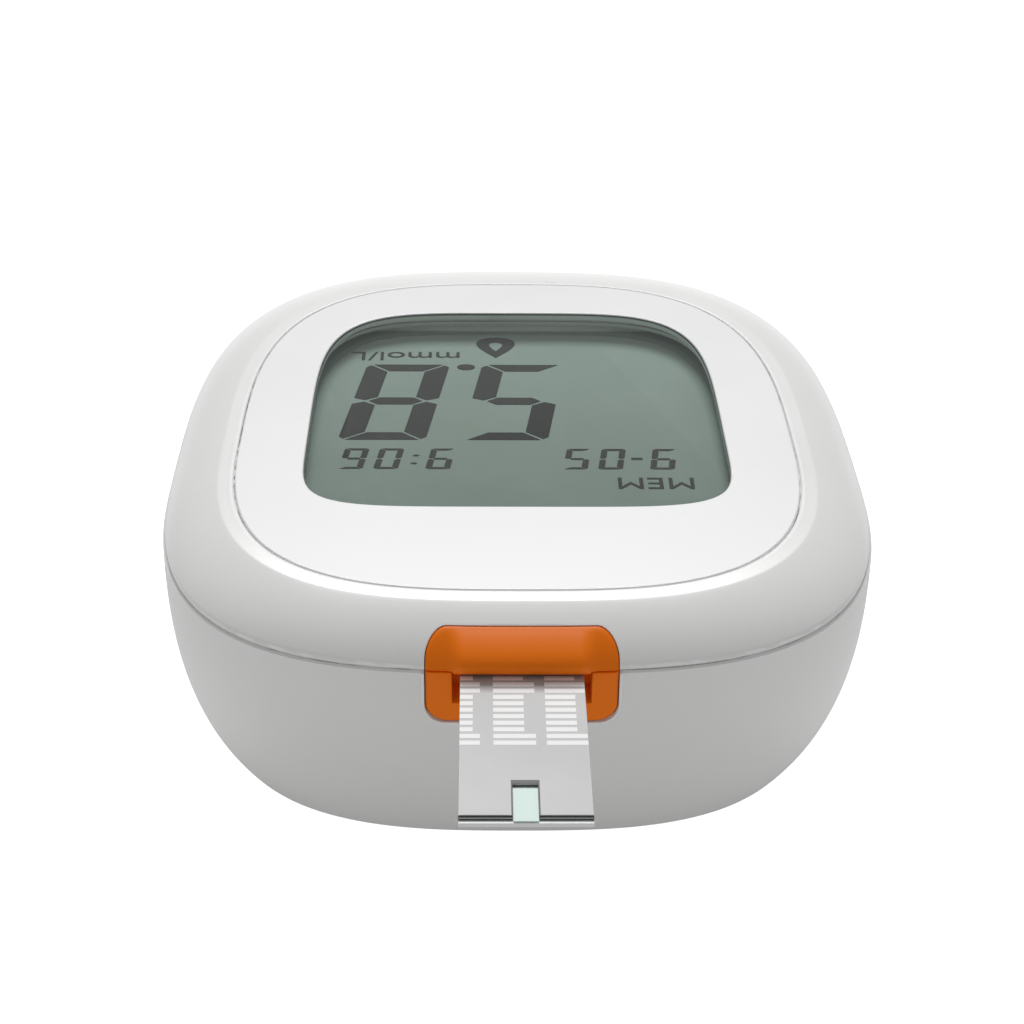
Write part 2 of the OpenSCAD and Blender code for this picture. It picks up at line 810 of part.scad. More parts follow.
module strip_ejector() {
    color("slategray") union() {
        block(-blade_w / 2, blade_w / 2, blade_tip_y, post_y, blade_z,
              blade_z + blade_thin);
        block(-blade_w / 2, blade_w / 2, blade_step_y, post_y + post_l / 2, arm_top - 0.2,
              blade_z + blade_thin + 0.1);
        block(post_x - post_w / 2, blade_w / 2, post_y - post_l / 2, post_y + post_l / 2,
              arm_z, arm_top);
        block(post_x - post_w / 2, post_x + post_w / 2, post_y - post_l / 2,
              post_y + post_l / 2, base_z + pad_recess, arm_top);
        block(pad_x - pad_w / 2, post_x + post_w / 2 + 0.6, flange_near, flange_far,
              flange_z, flange_z + flange_t);
        block(pad_x - pad_w / 2 + 0.3, post_x + post_w / 2 + 0.6, flange_near,
              flange_near + lug_l, flange_z, flange_z + lug_h);
        difference() {
            block(pad_x - pad_w / 2, pad_x + pad_w / 2, pad_near, pad_near + pad_l,
                  base_z - 0.2, base_z + pad_recess - 0.1);
            for (i = [0:3])
                block(pad_x - pad_w / 2 - 1, pad_x + pad_w / 2 + 1,
                      pad_near + 1.2 + i * 1.9, pad_near + 2.1 + i * 1.9, -1, base_z + 0.15);
        }
        block(post_x - post_w / 2, post_x + post_w / 2, post_y - post_l / 2,
              post_y + post_l / 2, base_z + pad_recess - 0.2, flange_z + eps);
    }
}

// A round wire swept along a coil; radius runs from r0 to r1 over the length.
module coil(r0, r1, length, turns, wire_r) {
    sides = 6;
    steps = 14 * turns;
    function at(k) =
        let (t = k / steps, r = r0 + (r1 - r0) * t, a = 360 * turns * t)
        [for (j = [0:sides - 1])
            let (b = -360 * j / sides, q = r + wire_r * cos(b))
            [q * cos(a), q * sin(a), wire_r + (length - 2 * wire_r) * t + wire_r * sin(b)]];
    skin([for (k = [0:steps]) at(k)]);
}

module ejector_spring() {
    length = flange_near - spring_seat_y - 0.2;
    color("silver") translate([spring_x, spring_seat_y + 0.1, spring_z]) rotate([-90, 0, 0])
        coil(spring_r, spring_r, length, spring_turns, spring_wire / 2);
}

// ---------------------------------------------------------------- display

module lcd_front_polariser() {
    color([0.6, 0.68, 0.62, 0.5])
        slab(window_outline(0.4), polariser_top - polariser_t, polariser_top);
}

module lcd_front_glass() {
    color([0.75, 0.85, 0.8, 0.5])
        slab(glass_outline(0, glass_near_y), front_glass_z, front_glass_z + glass_t);
}

module lcd_rear_glass() {
    color([0.75, 0.85, 0.8, 0.5])
        slab(glass_outline(0, rear_near_y), rear_glass_z, rear_glass_z + glass_t);
}

module lcd_reflector() {
    color([0.55, 0.63, 0.58])
        slab(glass_outline(-0.3, rear_near_y), reflector_z, reflector_z + polariser_t);
}

module lcd_gasket() {
    color("dimgray") difference() {
        slab(glass_outline(-0.1, rear_near_y), polariser_top - polariser_t, panel_z);
        slab(window_outline(0.5), 0, far_away);
    }
}

holder_rim = 1.2;
holder_shelf = 1.6;
holder_floor = 0.8;

module lcd_holder() {
    top = ceiling_z - boss_gap;
    color("white") difference() {
        slab(glass_outline(glass_gap + holder_rim, rear_near_y), board_top, top);
        slab(glass_outline(glass_gap, rear_near_y), reflector_z, far_away);
        slab(glass_outline(-holder_shelf, rear_near_y), board_top - 1, far_away);
        slab(glass_outline(glass_gap, rear_near_y), board_top - 1, reflector_z - holder_floor);
        for (p = board_screws_at) post(p[0], p[1], 0, far_away, board_boss_r + 0.2);
        block(-blade_w / 2 - mouth, blade_w / 2 + mouth, -far_away, rear_near_y + ledge_w,
              board_top + holder_floor, far_away);
    }
}

zebra_l = 8.4;

module zebra_connectors() {
    y = glass_near_y + boss_gap;
    mid_x = glass_x / 2;
    depth = ledge_w - glass_gap - holder_rim - 3 * boss_gap;
    color("lightpink") for (side = [-1, 1])
        block(side * mid_x - zebra_l / 2, side * mid_x + zebra_l / 2, y, y + depth, board_top,
              front_glass_z);
}

// One segment lying along X from its left end: a bar with pointed ends.
module bar(length, stroke) {
    h = stroke / 2;
    polygon([[0, 0], [h, h], [length - h, h], [length, 0], [length - h, -h], [h, -h]]);
}

SEGMENTS = [
    [1, 1, 1, 1, 1, 1, 0], [0, 1, 1, 0, 0, 0, 0], [1, 1, 0, 1, 1, 0, 1],
    [1, 1, 1, 1, 0, 0, 1], [0, 1, 1, 0, 0, 1, 1], [1, 0, 1, 1, 0, 1, 1],
    [1, 0, 1, 1, 1, 1, 1], [1, 1, 1, 0, 0, 0, 0], [1, 1, 1, 1, 1, 1, 1],
    [1, 1, 1, 1, 0, 1, 1]
];
digit_lean = 0.12;

// A seven-segment digit, upright, with its lower left corner at the origin.
module digit(value, w, h, stroke) {
    on = SEGMENTS[value];
    gap = stroke * 0.12;
    lx = w - stroke;
    ly = (h - stroke) / 2;
    places = [
        [0, 2 * ly, 0], [lx, 2 * ly, -90], [lx, ly, -90], [0, 0, 0], [0, ly, -90],
        [0, 2 * ly, -90], [0, ly, 0]
    ];
    multmatrix([[1, digit_lean, 0, 0], [0, 1, 0, 0], [0, 0, 1, 0], [0, 0, 0, 1]])
        translate([stroke / 2, stroke / 2])
            for (i = [0:6]) if (on[i] == 1)
                translate([places[i][0], places[i][1]]) rotate(places[i][2])
                    translate([gap, 0]) bar((i % 3 == 0 ? lx : ly) - 2 * gap, stroke);
}

// The display reads from the far side, so its writing is turned half round.
module reading(x, y) {
    translate([x, y]) rotate(180) children();
}

digit_left = 10.9;
digit_far = 6.3;
digit_space = 1.6;
digit_x = -window_w / 2 + digit_left;
digit_y = window_far_y - digit_far;
digit_pitch = digit_w + digit_space;
small_far = 13.6;
small_left = 0.9;
small_right = 3.45;
small_space = 0.85;
small_sign = 1.35;
small_y = window_near_y + small_far;
small_pitch = small_w + small_space;
small_ends = [digit_x + small_left, window_w / 2 - small_right];
small_values = [[9, 0, 6], [9, 0, 5]];

module lcd_segments() {
    thick = cell_gap;
    color([0.25, 0.28, 0.26]) translate([0, 0, rear_glass_z + glass_t])
        linear_extrude(thick) {
            reading(digit_x, digit_y) digit(8, digit_w, digit_h, digit_stroke);
            reading(digit_x + digit_pitch, digit_y) digit(5, digit_w, digit_h, digit_stroke);
            reading(digit_x + digit_space / 2, digit_y) square(digit_stroke * 0.8);
            for (group = [0, 1], i = [0:2])
                reading(small_ends[group] - i * small_pitch - (i > 0 ? small_sign : 0), small_y)
                    digit(small_values[group][i], small_w, small_h, small_stroke);
        }
}

// ---------------------------------------------------------------- circuit board

module main_board() {
    color("seagreen") difference() {
        slab(even(board_inset), board_under, board_top);
        block(-collar_w / 2 - 0.6, collar_w / 2 + 0.6, -far_away, collar_in_y + 0.2,
              0, far_away);
        for (p = board_screws_at)
            post(p[0], p[1], 0, far_away, board_screw_d / 2 + 0.1);
        for (x = [-screw_x, screw_x])
            post(x, screw_y, 0, far_away, screw_d / 2 + 0.15);
        block(post_x - post_w / 2 - 0.5, post_x + post_w / 2 + 0.5,
              post_y - post_l / 2 - eject_travel - 0.5, post_y + post_l / 2 + 0.5,
              0, far_away);
        for (x = [-tab_x, tab_x])
            block(x - 1.1, x + 1.1, bay_near, bay_near + 0.6, 0, far_away);
    }
}

chip_stand = 0.1;
lead_w = 0.2;
lead_t = 0.15;
lead_l = 0.9;
processor_w = 7.0;
processor_h = 1.0;
processor_x = 7.0;
processor_y = 8.0;
lead_pitch = 0.5;

module gull_leads(x, y, half, sides, count, pitch) {
    for (side = sides, i = [0:count - 1])
        translate([x, y, board_top]) rotate([0, 0, side])
            translate([half - 0.1, (i - (count - 1) / 2) * pitch - lead_w / 2, 0])
                cube([lead_l, lead_w, lead_t]);
}

module chip(x, y, w, l, h, sides, count, pitch) {
    color("darkslategray") union() {
        block(x - w / 2, x + w / 2, y - l / 2, y + l / 2, board_top + chip_stand,
              board_top + chip_stand + h);
        gull_leads(x, y, w / 2, sides, count, pitch);
    }
}

module processor_chip() {
    chip(processor_x, processor_y, processor_w, processor_w, processor_h, [0:90:270], 12,
         lead_pitch);
}

sensor_w = 4.0;
sensor_l = 5.0;
sensor_h = 1.1;
sensor_x = 8.0;
sensor_y = -10.5;

module sensor_chip() {
    chip(sensor_x, sensor_y, sensor_w, sensor_l, sensor_h, [0, 180], 7, lead_pitch * 1.3);
}

memory_chip_w = 4.0;
memory_chip_x = -7.0;
memory_chip_y = 11.0;

module memory_chip() {
    chip(memory_chip_x, memory_chip_y, memory_chip_w, memory_chip_w, sensor_h, [0, 180], 4,
         lead_pitch * 1.9);
}

crystal_d = 2.0;
crystal_l = 6.0;
crystal_x = -5.0;
crystal_y = 3.0;

module quartz_crystal() {
    color("silver") translate([crystal_x, crystal_y, board_top + crystal_d / 2])
        rotate([0, 90, 0]) cylinder(h = crystal_l, r = crystal_d / 2, center = true);
}

resistor_w = 0.8;
resistor_l = 1.6;
resistor_h = 0.5;
capacitor_w = 1.0;
capacitor_l = 1.8;
capacitor_h = 0.9;
small_part_pitch = 1.8;
far_row_y = 16.5;
near_row_y = port_y + 8.7;
near_row_x = connector_w / 2 + 1.8;

// A row of small parts on the board: count bodies at a pitch along X from x.
module part_row(x, y, count, w, l, h) {
    for (i = [0:count - 1])
        translate([x + i * small_part_pitch, y, board_top]) cube([w, l, h]);
}

module chip_resistors() {
    color("black") {
        part_row(memory_chip_x - 1, far_row_y, 6, resistor_w, resistor_l, resistor_h);
        part_row(near_row_x, near_row_y, 4, resistor_w, resistor_l, resistor_h);
    }
}

module chip_capacitors() {
    color("peru") {
        part_row(processor_x - 1, far_row_y - 2.5, 5, capacitor_w, capacitor_l, capacitor_h);
        part_row(-near_row_x - 5.5, near_row_y, 3, capacitor_w, capacitor_l, capacitor_h);
    }
}

buzzer_w = 7.6;
buzzer_h = 3.0;
buzzer_port_r = 0.9;
buzzer_x = set_x + 0.8;
buzzer_y = set_y + 7.9;
sound_hole_r = 0.5;
sound_ring_r = 2.0;

module buzzer() {
    color("black") difference() {
        block(buzzer_x - buzzer_w / 2, buzzer_x + buzzer_w / 2, buzzer_y - buzzer_w / 2,
              buzzer_y + buzzer_w / 2, board_under - buzzer_h, board_under);
        post(buzzer_x, buzzer_y, board_under - buzzer_h - 1, board_under - buzzer_h + 1,
             buzzer_port_r);
    }
}

memory_switch_w = 6.0;
memory_switch_under = 1.4;

module memory_switch() {
    color("silver") union() {
        block(-memory_switch_w / 2, memory_switch_w / 2, memory_switch_y - memory_switch_l,
              memory_switch_y, memory_z - memory_switch_under, board_under);
        translate([0, memory_switch_y - eps, memory_z]) rotate([-90, 0, 0])
            cylinder(h = memory_flange_y - memory_switch_y - memory_travel - 0.05 + eps,
                     r = 0.9);
    }
}

module set_switch() {
    color("silver") union() {
        block(set_x - switch_w / 2, set_x + switch_w / 2, set_y - switch_w / 2,
              set_y + switch_w / 2, board_under - set_switch_h, board_under);
        post(set_x, set_y, board_under - set_switch_h - plunger_h,
             board_under - set_switch_h + eps, 0.8);
    }
}

// ---------------------------------------------------------------- strip connector

guide_clear = 0.08;
pocket_in = 3.6;
mouth = 0.4;

module strip_connector() {
    w = connector_w / 2;
    inner = strip_w / 2 + slot_clear;
    pocket = strip_w / 2 - slot_clear;
    color("black") difference() {
        block(-w, w, connector_near_y, connector_far_y, board_top, connector_top);
        block(-inner, inner, -far_away, connector_far_y + 1, strip_z - guide_clear,
              strip_top + guide_clear);
        block(-pocket, pocket, connector_near_y + pocket_in, connector_far_y + 1,
              strip_z + guide_clear, strip_top + contact_over + contact_t + guide_clear);
        block(-inner - mouth, inner + mouth, connector_near_y - 1, connector_near_y + 2 * mouth,
              strip_z - mouth, strip_top + mouth);
    }
}

contact_pitch = 0.85;
contact_first = 0.5;
contact_w = 0.4;
contact_t = 0.15;
contact_tail = 1.0;
contact_bend = 1.6;
contact_lead = 1.0;
contact_rise = 0.45;
contact_over = 0.25;
contact_reach = 2.0;
contact_x = [for (side = [-1, 1], i = [0:2])
    side * (blade_w / 2 + contact_first + i * contact_pitch)];

// One spring contact: tail on the board, riser behind the housing, arm and bent tip.
module spring_contact() {
    tip_y = strip_in_y - contact_reach;
    tip_z = spacer_z + electrode_t;
    bend_y = tip_y + contact_bend;
    arm_high = strip_top + contact_over;
    riser_y = connector_far_y + slot_clear;
    lead_y = tip_y - contact_lead;
    tail_y = riser_y + contact_tail;
    t = contact_t;
    rotate([90, 0, 90]) linear_extrude(contact_w, center = true) polygon([
        [tail_y, board_top], [tail_y, board_top + t], [riser_y + t, board_top + t],
        [riser_y + t, arm_high + t], [bend_y, arm_high + t], [tip_y, tip_z + t],
        [lead_y, tip_z + contact_rise + t], [lead_y, tip_z + contact_rise], [tip_y, tip_z],
        [bend_y, arm_high], [riser_y, arm_high], [riser_y, board_top]
    ]);
}

module connector_contacts() {
    color("gold") for (x = contact_x) translate([x, 0, 0]) spring_contact();
}

// ---------------------------------------------------------------- battery

nub_l = 1.0;
nub_r = 1.9;

// A cell that lies along Y; its positive end faces +Y when facing is 1.
module along_cell(x, facing) {
    translate([x, bay_y, cell_z]) rotate([-90 * facing, 0, 0]) children();
}

module battery_cells() {
    color("silver") for (side = [-1, 1]) along_cell(side * cell_x, -side) union() {
        translate([0, 0, -cell_l / 2]) cylinder(h = cell_l - nub_l, r = cell_d / 2 - 0.15);
        translate([0, 0, cell_l / 2 - nub_l - eps]) cylinder(h = nub_l + eps, r = nub_r);
    }
}

module battery_sleeves() {
    color("dimgray") for (side = [-1, 1]) along_cell(side * cell_x, -side) difference() {
        translate([0, 0, -cell_l / 2 + 0.6])
            cylinder(h = cell_l - nub_l - 1.2, r = cell_d / 2);
        translate([0, 0, -cell_l / 2]) cylinder(h = cell_l, r = cell_d / 2 - 0.15);
    }
}

plate_t = 0.3;
plate_gap = 0.1;
plate_h = cell_d - 1;

// Contact plate against the bay's end wall at wall_y; facing is the way to the cells.
module contact_plate(x0, x1, wall_y, facing) {
    y0 = wall_y + facing * plate_gap;
    y1 = y0 + facing * plate_t;
    block(x0, x1, min(y0, y1), max(y0, y1), cell_z - plate_h / 2, cell_z + plate_h / 2);
}

module contact_bump(x, wall_y, facing) {
    reach = contact_space - plate_gap - plate_t;
    translate([x, wall_y + facing * (plate_gap + plate_t - eps), cell_z])
        rotate([-90 * facing, 0, 0])
            cylinder(h = reach + eps - 0.02, r1 = 3.0, r2 = 1.6);
}

module contact_spring(x, wall_y, facing) {
    reach = contact_space - plate_gap - plate_t;
    translate([x, wall_y + facing * (plate_gap + plate_t - 0.02), cell_z])
        rotate([-90 * facing, 0, 0]) coil(3.4, 2.0, reach, 3, 0.22);
}

module contact_tab(x) {
    block(x - 0.8, x + 0.8, bay_near + plate_gap, bay_near + plate_gap + plate_t,
          cell_z + plate_h / 2 - eps, board_top + 0.5);
}

module positive_contact() {
    color("silver") union() {
        contact_plate(1.0, bay_w / 2 - 0.6, bay_near, 1);
        contact_bump(cell_x, bay_near, 1);
        contact_tab(tab_x);
    }
}

module negative_contact() {
    color("silver") union() {
        contact_plate(-bay_w / 2 + 0.6, -1.0, bay_near, 1);
        contact_spring(-cell_x, bay_near, 1);
        contact_tab(-tab_x);
    }
}

module link_contact() {
    color("silver") union() {
        contact_plate(-bay_w / 2 + 0.6, bay_w / 2 - 0.6, bay_far, -1);
        contact_bump(-cell_x, bay_far, -1);
        contact_spring(cell_x, bay_far, -1);
    }
}

// ---------------------------------------------------------------- test strip

strip_half = strip_w / 2;
cover_in_y = strip_in_y - bare_l;
lip_l = 0.55;
track_w = 0.5;
track_end = 0.3;

module strip_base() {
    color("white") block(-strip_half, strip_half, strip_out_y, strip_in_y, strip_z,
                         electrode_z);
}

module strip_electrodes() {
    color("dimgray") for (x = contact_x)
        block(x - track_w / 2, x + track_w / 2, strip_out_y + notch_l / 2,
              strip_in_y - track_end, electrode_z, spacer_z);
}

module strip_spacer() {
    color("white") difference() {
        block(-strip_half, strip_half, strip_out_y + lip_l / 2, cover_in_y, spacer_z, cover_z);
        block(-notch_w / 2, notch_w / 2, strip_out_y - 1, strip_out_y + notch_l,
              0, far_away);
    }
}

module strip_cover() {
    color("lightgray") difference() {
        block(-strip_half, strip_half, strip_out_y + lip_l, cover_in_y, cover_z, strip_top);
        block(-notch_w / 2, notch_w / 2, strip_out_y - 1, strip_out_y + notch_l,
              0, far_away);
    }
}

module strip_reagent() {
    half = notch_w / 2 - electrode_t;
    color("paleturquoise") block(-half, half, strip_out_y + spacer_t,
                                 strip_out_y + notch_l - track_end, spacer_z,
                                 cover_z - spacer_t / 5);
}

upper_case();
lower_case();
face_panel();
display_lens();
port_collar_upper();
port_collar_lower();
battery_door();
rubber_feet();
case_screws();
memory_button();
set_button();
strip_ejector();
ejector_spring();
lcd_front_polariser();
lcd_front_glass();
lcd_rear_glass();
lcd_reflector();
lcd_segments();
lcd_gasket();
lcd_holder();
zebra_connectors();
main_board();
board_screws();
processor_chip();
sensor_chip();
memory_chip();
quartz_crystal();
chip_resistors();
chip_capacitors();
buzzer();
memory_switch();
set_switch();
strip_connector();
connector_contacts();
battery_cells();
battery_sleeves();
positive_contact();
negative_contact();
link_contact();
strip_base();
strip_electrodes();
strip_spacer();
strip_cover();
strip_reagent();
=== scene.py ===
"""Blood glucose meter: its visible pieces, finishes and studio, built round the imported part."""

import json
from collections import namedtuple
from math import asin, cos, pi, radians, sin, sqrt

import bmesh
import bpy
from bpy.props import FloatProperty, FloatVectorProperty, IntProperty, PointerProperty
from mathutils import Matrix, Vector


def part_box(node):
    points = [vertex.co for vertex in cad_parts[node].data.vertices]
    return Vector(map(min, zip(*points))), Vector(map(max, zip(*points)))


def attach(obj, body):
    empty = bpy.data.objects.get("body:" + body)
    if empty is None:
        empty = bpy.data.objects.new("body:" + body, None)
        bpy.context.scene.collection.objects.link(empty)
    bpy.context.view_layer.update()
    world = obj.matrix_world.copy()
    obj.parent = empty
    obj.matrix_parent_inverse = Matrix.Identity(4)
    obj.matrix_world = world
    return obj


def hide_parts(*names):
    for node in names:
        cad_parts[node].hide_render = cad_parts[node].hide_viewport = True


bl_info = {
    "name": "Blood glucose meter",
    "version": (1, 0, 0),
    "blender": (4, 5, 0),
    "location": "View3D > Sidebar > Meter",
    "description": "Builds the shells, display, port, strip and finishes of a glucose meter",
    "category": "Add Mesh",
}

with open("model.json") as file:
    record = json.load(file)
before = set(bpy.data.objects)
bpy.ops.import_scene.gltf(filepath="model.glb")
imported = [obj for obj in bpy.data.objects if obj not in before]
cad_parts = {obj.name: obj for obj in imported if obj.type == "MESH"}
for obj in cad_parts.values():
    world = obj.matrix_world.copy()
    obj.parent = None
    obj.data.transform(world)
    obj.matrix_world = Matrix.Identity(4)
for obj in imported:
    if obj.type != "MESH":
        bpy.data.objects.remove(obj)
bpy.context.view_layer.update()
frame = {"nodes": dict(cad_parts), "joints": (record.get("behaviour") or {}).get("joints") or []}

MM = 0.001


def lowest(node):
    """The lowest corner of a CAD node's box."""
    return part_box(node)[0]


def highest(node):
    """The highest corner of a CAD node's box."""
    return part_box(node)[1]


def middle(node):
    """The middle of a CAD node's box."""
    return (lowest(node) + highest(node)) / 2


# ------------------------------------------------------------------ places taken from the part

HALF_W = highest("upper_case").x
HALF_L = highest("upper_case").y
BASE_Z = lowest("lower_case").z
RIM_Z = highest("lower_case").z
PART_Z = lowest("port_collar_upper").z
LIP_Z = lowest("upper_case").z
PANEL_Z = lowest("face_panel").z
TOP_Z = highest("face_panel").z
PANEL_HALF = highest("face_panel").x
PANEL_FAR_INSET = HALF_L - highest("face_panel").y
PANEL_NEAR_INSET = HALF_L + lowest("face_panel").y
PANEL_SIDE_INSET = HALF_W - PANEL_HALF
LENS_Z = lowest("display_lens").z
LENS_TOP = highest("display_lens").z
SEGMENT_LOW = lowest("lcd_segments").z
SEGMENT_HIGH = highest("lcd_segments").z
STRIP_LOW = lowest("strip_base")
STRIP_HIGH = highest("strip_base")
STRIP_TOP = highest("strip_cover").z
COLLAR_HALF = highest("port_collar_upper").x
COLLAR_BACK = highest("port_collar_upper").y
COLLAR_TOP = highest("port_collar_upper").z
COLLAR_BOTTOM = lowest("port_collar_lower").z

# ------------------------------------------------------------------ fits that pieces share

MERGE = 0.001 * MM  # points closer than this are one
FINE_MERGE = 0.0001 * MM  # the same in the display's segments and signs
COVER = 0.06 * MM  # how much thicker than the solid's wall a shell's skin is, to hide it
DOOR_GAP = 0.15 * MM
BUTTON_GAP = 0.15 * MM
PAD_GAP = 0.2 * MM
SCREW_WELL = 0.15 * MM  # gap round a screw's head
FOOT_RADIUS = 2.45 * MM
FOOT_IN = 0.5 * MM  # how deep a foot sits in the shell


def linear(code):
    """Linear colour from an sRGB hex code."""
    parts = [int(code[i:i + 2], 16) / 255 for i in (1, 3, 5)]
    return [p / 12.92 if p <= 0.04045 else ((p + 0.055) / 1.055) ** 2.4 for p in parts]


def length(name, description, millimetres):
    """A size that a user may change, given in millimetres and kept in metres."""
    return FloatProperty(name=name, description=description, default=millimetres * MM,
                         unit="LENGTH", precision=5)


def tint(name, description, code):
    """A colour that a user may change."""
    return FloatVectorProperty(name=name, description=description, default=linear(code),
                               subtype="COLOR", size=3, min=0, max=1)


class CaseSizes(bpy.types.PropertyGroup):
    """Sizes of the two shells and of the face panel between them."""

    widest_y: length("Widest line", "Y of the widest line of the outline", -5.5)
    corner_power: FloatProperty(name="Corner power", description="Squareness of the outline",
                                default=3.05)
    base_power: FloatProperty(name="Base power", description="Squareness of the base",
                              default=2.9)
    bowl_power: FloatProperty(name="Bowl power", description="How long the wall stays upright",
                              default=2.46)
    base_inset_side: length("Side inset", "How far the base lies inside the sides", 4.4)
    base_inset_end: length("End inset", "How far the base lies inside the ends", 7.5)
    base_round: length("Base rounding", "Rounding of the base's edge", 1.0)
    wall: length("Wall", "Thickness of the lower shell's wall", 1.8)
    floor: length("Floor", "Thickness of the lower shell's floor", 1.6)
    rim_ledge: length("Rim ledge", "Width of the ledge on the lower shell's rim", 0.18)
    rim_fall: length("Rim fall", "How far that ledge falls outwards", 0.07)
    rim_tuck: length("Rim tuck", "How far the upper shell's foot stands in from the rim", 0.28)
    lip_gap: length("Lip gap", "Gap between the shells' lips", 0.15)
    lip_wall: length("Lip wall", "Thickness of the upper shell's lip", 0.9)
    ceiling: length("Ceiling", "Thickness of the upper shell under the panel", 1.4)
    ring_width: length("Ring width", "Width of the bright ring round the panel", 1.35)
    ring_drop: length("Ring drop", "Fall of the ring across its width", 0.14)
    panel_gap: length("Panel gap", "Gap round the face panel", 0.08)
    groove: length("Groove depth", "Depth of the groove round the face panel", 0.3)
    around: IntProperty(name="Steps round", description="Points round each level of a shell",
                        default=288, min=48)


class DisplaySizes(bpy.types.PropertyGroup):
    """Sizes of the window, its lens and the writing under it."""

    flange: length("Lens flange", "Width of the lens flange beyond the window", 0.75)
    flange_thickness: length("Flange thickness", "Thickness of the lens flange", 0.5)
    gap: length("Lens gap", "Gap between the lens and the panel", 0.05)
    power_far: FloatProperty(name="Far corner power", default=4.5,
                             description="Squareness of the window's far corners")
    power_near: FloatProperty(name="Near corner power", default=5.5,
                              description="Squareness of the window's near corners")
    digit_height: length("Digit height", "Height of a big digit", 14.4)
    digit_width: length("Digit width", "Width of a big digit", 7.1)
    digit_pitch: length("Digit pitch", "From one big digit to the next", 9.9)
    upright_stroke: length("Upright stroke", "Width of a big digit's upright bars", 1.95)
    level_stroke: length("Level stroke", "Width of a big digit's level bars", 1.3)
    small_height: length("Small digit height", "Height of a small digit", 3.5)
    small_width: length("Small digit width", "Width of a small digit", 1.95)


class PortSizes(bpy.types.PropertyGroup):
    """Sizes of the collar round the strip port."""

    corner: length("Collar corner", "Corner radius of the collar", 1.5)
    gap: length("Collar gap", "Gap between the collar and the shells", 0.05)
    edge: length("Collar edge", "Rounding of the collar's edge", 0.22)
    lip: length("Lip", "How far the brow hangs under the parting line over the slot", 0.22)
    brow_start: length("Brow start", "Height over the parting line where the brow swells", 1.9)
    brow_swell: length("Brow swell", "How far the brow swells over the slot", 0.9)
    bead: length("Bead", "Thickness of the bead round the lower half of the opening", 0.2)
    slot_width: length("Slot width", "Width of the slot's mouth", 9.6)
    slot_height: length("Slot height", "Height of the slot's mouth", 2.6)
    slot_depth: length("Slot depth", "Depth of the slot's mouth", 2.6)


class ControlSizes(bpy.types.PropertyGroup):
    """Sizes of the buttons and of the ejector's thumb pad."""

    rim: length("Button rim", "Width of the memory button's flange", 0.5)
    cap: length("Set cap", "Diameter of the set button's cap", 3.4)
    pad_width: length("Pad width", "Width of the thumb pad", 5.6)
    pad_length: length("Pad length", "Length of the thumb pad", 9.0)
    pad_shift: length("Pad shift", "How far the pad lies beyond its post", 4.0)
    post_width: length("Post width", "Width of the ejector's post", 2.0)
    post_length: length("Post length", "Length of the ejector's post", 3.0)
    post_offset: length("Post offset", "How far the post lies inboard of the pad", 1.1)
    recess: length("Pad recess", "Depth of the pad's recess", 0.9)


class Colours(bpy.types.PropertyGroup):
    """Colours of the finishes that show."""

    upper: tint("Upper shell", "White moulded upper shell", "#F8F8F7")
    lower: tint("Lower shell", "Off-white moulded lower shell", "#F0F0EF")
    panel: tint("Face panel", "White print behind the face panel", "#F2F2F3")
    orange: tint("Port collar", "Orange moulded collar", "#FF7D00")
    screen: tint("Screen", "Grey-green film behind the display", "#92A29B")
    segments: tint("Segments", "Dark display segments", "#171B18")
    strip: tint("Strip cover", "Grey film on the strip", "#B7B7B7")
    reagent: tint("Reagent", "Pale aqua reagent in the strip's notch", "#DFF4EE")


# ------------------------------------------------------------------ building with nodes

def add_node(tree, kind, *values, sockets=None, **settings):
    """Adds a node with its settings, and sets or links its inputs in order and by name."""
    node = tree.nodes.new(kind)
    for name, value in settings.items():
        setattr(node, name, value)
    inputs = list(enumerate(values)) + list((sockets or {}).items())
    for key, value in inputs:
        if isinstance(value, bpy.types.Node):
            value = value.outputs[0]
        if isinstance(value, bpy.types.NodeSocket):
            tree.links.new(value, node.inputs[key])
        elif value is not None:
            node.inputs[key].default_value = value
    return node


def start_tree(name, inputs):
    """A geometry node tree with named inputs, and its input node."""
    tree = bpy.data.node_groups.new(name, "GeometryNodeTree")
    sockets = [("Geometry", "NodeSocketGeometry")] + inputs + [
        ("Finish", "NodeSocketMaterial")]
    for label, kind in sockets:
        tree.interface.new_socket(label, in_out="INPUT", socket_type=kind)
    tree.interface.new_socket("Geometry", in_out="OUTPUT", socket_type="NodeSocketGeometry")
    return tree, tree.nodes.new("NodeGroupInput")


def end_tree(tree, start, geometry):
    """Makes the instances real and sets the finish."""
    real = add_node(tree, "GeometryNodeRealizeInstances", geometry)
    finished = add_node(tree, "GeometryNodeSetMaterial", real,
                        sockets={"Material": start.outputs["Finish"]})
    add_node(tree, "NodeGroupOutput", finished)
    return tree


